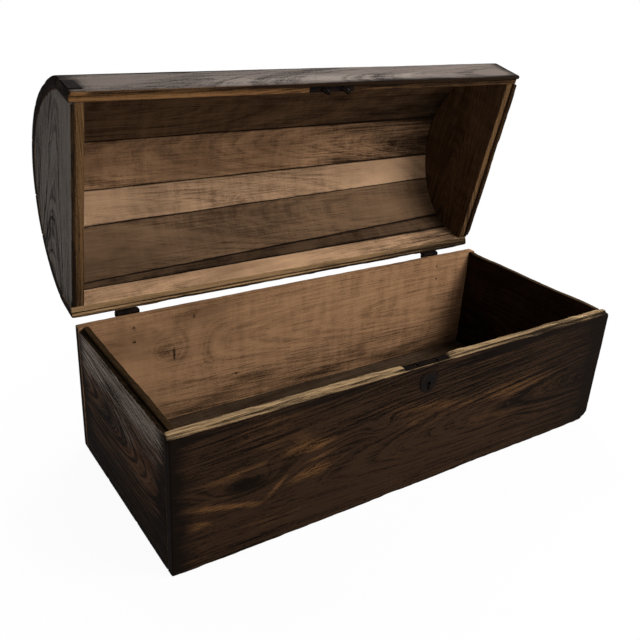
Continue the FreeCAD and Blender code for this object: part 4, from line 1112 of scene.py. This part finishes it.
class CHEST_OT_staves(bpy.types.Operator):
    """Build the nine staves of the lid and the dovetail in the first"""
    bl_idname = "chest.staves"
    bl_label = "Lid staves"

    def execute(self, context):
        sizes, colours = context.scene.chest_sizes, context.scene.chest_colours
        outside = colours.lid_light, colours.lid_mid, colours.lid_dark
        for number, (level, red) in enumerate(STAVE_TONES):
            weathered, rim = all_toned(outside, 0.45), rim_tones(colours, 0.85, 1.08)
            if number == 0:
                weathered, rim = outside, rim_tones(colours, 0.36, 1.35)
            skin = wood(f"lid_stave_{number + 1}_stain", Tones(
                *inside_tones(colours, level, red), *weathered, *rim,
                rings=240.0, figure=0.45, fleck=0.25, rough=0.75))
            heart = 0.02 * (number % 3 - 1), -0.09 - 0.01 * (number % 4)
            timber = Timber(heart, (0.03, 0.05 * (-1) ** number), 0.018, 37 + 3 * number,
                            lights=STAVE_LIGHTS.get(number, ()))
            build_board(stave(sizes, number, timber), skin)
        skin = wood("dovetail_stain", Tones(
            colours.end_light, colours.end_dark, *all_toned((colours.end_light, colours.end_mid), 0.11),
            toned(colours.end_dark, 0.3), *rim_tones(colours, 0.3),
            rings=400.0, figure=0.6, fleck=0.5, rough=0.75))
        build_board(dovetail(sizes), skin)
        return {"FINISHED"}


class CHEST_OT_lid_ends(bpy.types.Operator):
    """Build the half-round ends of the lid"""
    bl_idname = "chest.lid_ends"
    bl_label = "Lid ends"

    def execute(self, context):
        sizes, colours = context.scene.chest_sizes, context.scene.chest_colours
        outside = all_toned((colours.end_light, colours.end_mid, colours.end_dark), 0.64)
        for side, node, level, timber in LID_ENDS:
            skin = wood(node + "_stain", Tones(
                *inside_tones(colours, 0.4), *outside, *rim_tones(colours, level, 1.25),
                rings=600.0, figure=0.55, fleck=0.5, rough=0.75))
            build_board(lid_end(sizes, side, timber, node), skin)
        return {"FINISHED"}


class CHEST_OT_ironwork(bpy.types.Operator):
    """Give the hinges, lock and nails their forged iron"""
    bl_idname = "chest.ironwork"
    bl_label = "Ironwork"

    def execute(self, context):
        colours = context.scene.chest_colours
        plate = iron("forged_iron", colours.iron, colours.rust)
        nails = iron("nail_iron", toned(colours.iron, 0.8), toned(colours.rust, 0.7))
        for node in frame["nodes"].values():
            if not node.hide_render:
                node.data.materials.clear()
                node.data.materials.append(nails if "nails" in node.name else plate)
        return {"FINISHED"}


# Each lamp: its name, the side of its square, its place and what it points at
LAMPS = (
    ("key", 1.2, (1.35, -1.75, 2.1), (0.0, 0.05, 0.3)),
    ("fill", 1.8, (0.1, -2.6, 0.9), (0.0, 0.0, 0.3)),
    ("back", 1.4, (1.1, 2.0, 2.3), (0.0, 0.2, 0.6)),
)

# The camera's place, and its right, up and back directions
CAMERA_PLACE, SENSOR = (-0.8662, -1.0961, 0.8981), 36.0
CAMERA_AXES = ((0.83212, -0.55162, 0.05741), (0.18896, 0.37932, 0.90577), (-0.52141, -0.74286, 0.41987))

# Half the floor's side, its colour, and where it turns from mostly to wholly white for the camera
FLOOR_HALF, FLOOR_PALE, WHITE = 30, (0.8, 0.8, 0.8, 1), (1, 1, 1, 1)
FLOOR_NEAR, FLOOR_FAR, FLOOR_WHITE = 0.5, 0.9, 0.955


class CHEST_OT_stage(bpy.types.Operator):
    """Set the floor, the lights and the camera"""
    bl_idname = "chest.stage"
    bl_label = "Stage"

    def execute(self, context):
        scene, settings = context.scene, context.scene.chest_stage
        self.floor()
        scene.world = self.sky(settings.sky)
        for name, size, place, target in LAMPS:
            self.lamp(name + "_lamp", getattr(settings, name), size, Vector(place), Vector(target))
        camera = bpy.data.cameras.new("camera")
        camera.lens, camera.sensor_width = settings.lens, SENSOR
        scene.camera = placed("camera", camera)
        axes = Matrix(CAMERA_AXES).transposed().to_4x4()
        scene.camera.matrix_world = Matrix.Translation(CAMERA_PLACE) @ axes
        scene.view_settings.view_transform = "Standard"
        return {"FINISHED"}

    def floor(self):
        """A wide pale floor. To the camera it is mostly plain white near the chest, where the rest of it
        keeps the shadow, and all white further off."""
        low, high = -FLOOR_HALF, FLOOR_HALF
        mesh = bpy.data.meshes.new("floor")
        mesh.from_pydata([(low, low, 0), (high, low, 0), (high, high, 0), (low, high, 0)], [], [(0, 1, 2, 3)])
        floor = placed("floor", mesh)
        material = bpy.data.materials.new("pale_floor")
        mesh.materials.append(material)
        graph = Graph(material)
        path = graph.add("LightPath").outputs
        seen = graph.math("MAXIMUM", path["Is Camera Ray"], path["Is Glossy Ray"])
        seen = graph.math("MAXIMUM", seen, path["Is Transmission Ray"])
        place = graph.add("TexCoord").outputs["Object"]
        off = graph.add("VectorMath", {0: place}, operation="LENGTH").outputs["Value"]
        share = graph.math("MULTIPLY", seen, graph.spread(off, FLOOR_NEAR, FLOOR_FAR, FLOOR_WHITE, 1.0))
        pale = graph.add("BsdfDiffuse", {"Color": FLOOR_PALE})
        white = graph.add("Emission", {"Color": WHITE, "Strength": 1.0})
        both = graph.add("MixShader", {0: share, 1: pale.outputs[0], 2: white.outputs[0]})
        graph.add("OutputMaterial", {"Surface": both.outputs[0]})

    def sky(self, strength):
        """An even sky, white where the camera or a clear surface looks past the floor."""
        world = bpy.data.worlds.new("studio")
        graph = Graph(world)
        path = graph.add("LightPath").outputs
        seen = graph.math("MAXIMUM", path["Is Camera Ray"], path["Is Transmission Ray"])
        even, white = (graph.add("Background", {"Color": WHITE, "Strength": level})
                       for level in (strength, 1.0))
        both = graph.add("MixShader", {0: seen, 1: even.outputs[0], 2: white.outputs[0]})
        graph.add("OutputWorld", {"Surface": both.outputs[0]})
        return world

    def lamp(self, name, power, size, place, target):
        """A square soft lamp that points at the chest."""
        data = bpy.data.lights.new(name, "AREA")
        data.energy, data.size = power, size
        turn = (place - target).to_track_quat("Z", "Y").to_matrix().to_4x4()
        placed(name, data).matrix_world = Matrix.Translation(place) @ turn


OPERATORS = (CHEST_OT_rim_boards, CHEST_OT_end_boards, CHEST_OT_bottom_planks, CHEST_OT_staves,
             CHEST_OT_lid_ends, CHEST_OT_ironwork, CHEST_OT_stage)


class CHEST_PT_sidebar(bpy.types.Panel):
    """The chest's pieces, in the order they are built"""
    bl_idname = "CHEST_PT_sidebar"
    bl_label = "Dome-top chest"
    bl_space_type = "VIEW_3D"
    bl_region_type = "UI"
    bl_category = "Chest"

    def draw(self, context):
        for operator in OPERATORS:
            self.layout.operator(operator.bl_idname)
        for group in (context.scene.chest_sizes, context.scene.chest_colours, context.scene.chest_stage):
            column = self.layout.column(align=True)
            for key in group.__annotations__:
                column.prop(group, key)


CLASSES = (ChestSizes, ChestColours, ChestStage, *OPERATORS, CHEST_PT_sidebar)


def register():
    for item in CLASSES:
        bpy.utils.register_class(item)
    bpy.types.Scene.chest_sizes = PointerProperty(type=ChestSizes)
    bpy.types.Scene.chest_colours = PointerProperty(type=ChestColours)
    bpy.types.Scene.chest_stage = PointerProperty(type=ChestStage)


def unregister():
    del bpy.types.Scene.chest_stage
    del bpy.types.Scene.chest_colours
    del bpy.types.Scene.chest_sizes
    for item in reversed(CLASSES):
        bpy.utils.unregister_class(item)


def main():
    register()
    for operator in OPERATORS:
        group, name = operator.bl_idname.split(".")
        getattr(getattr(bpy.ops, group), name)()


if __name__ == "__main__":
    main()
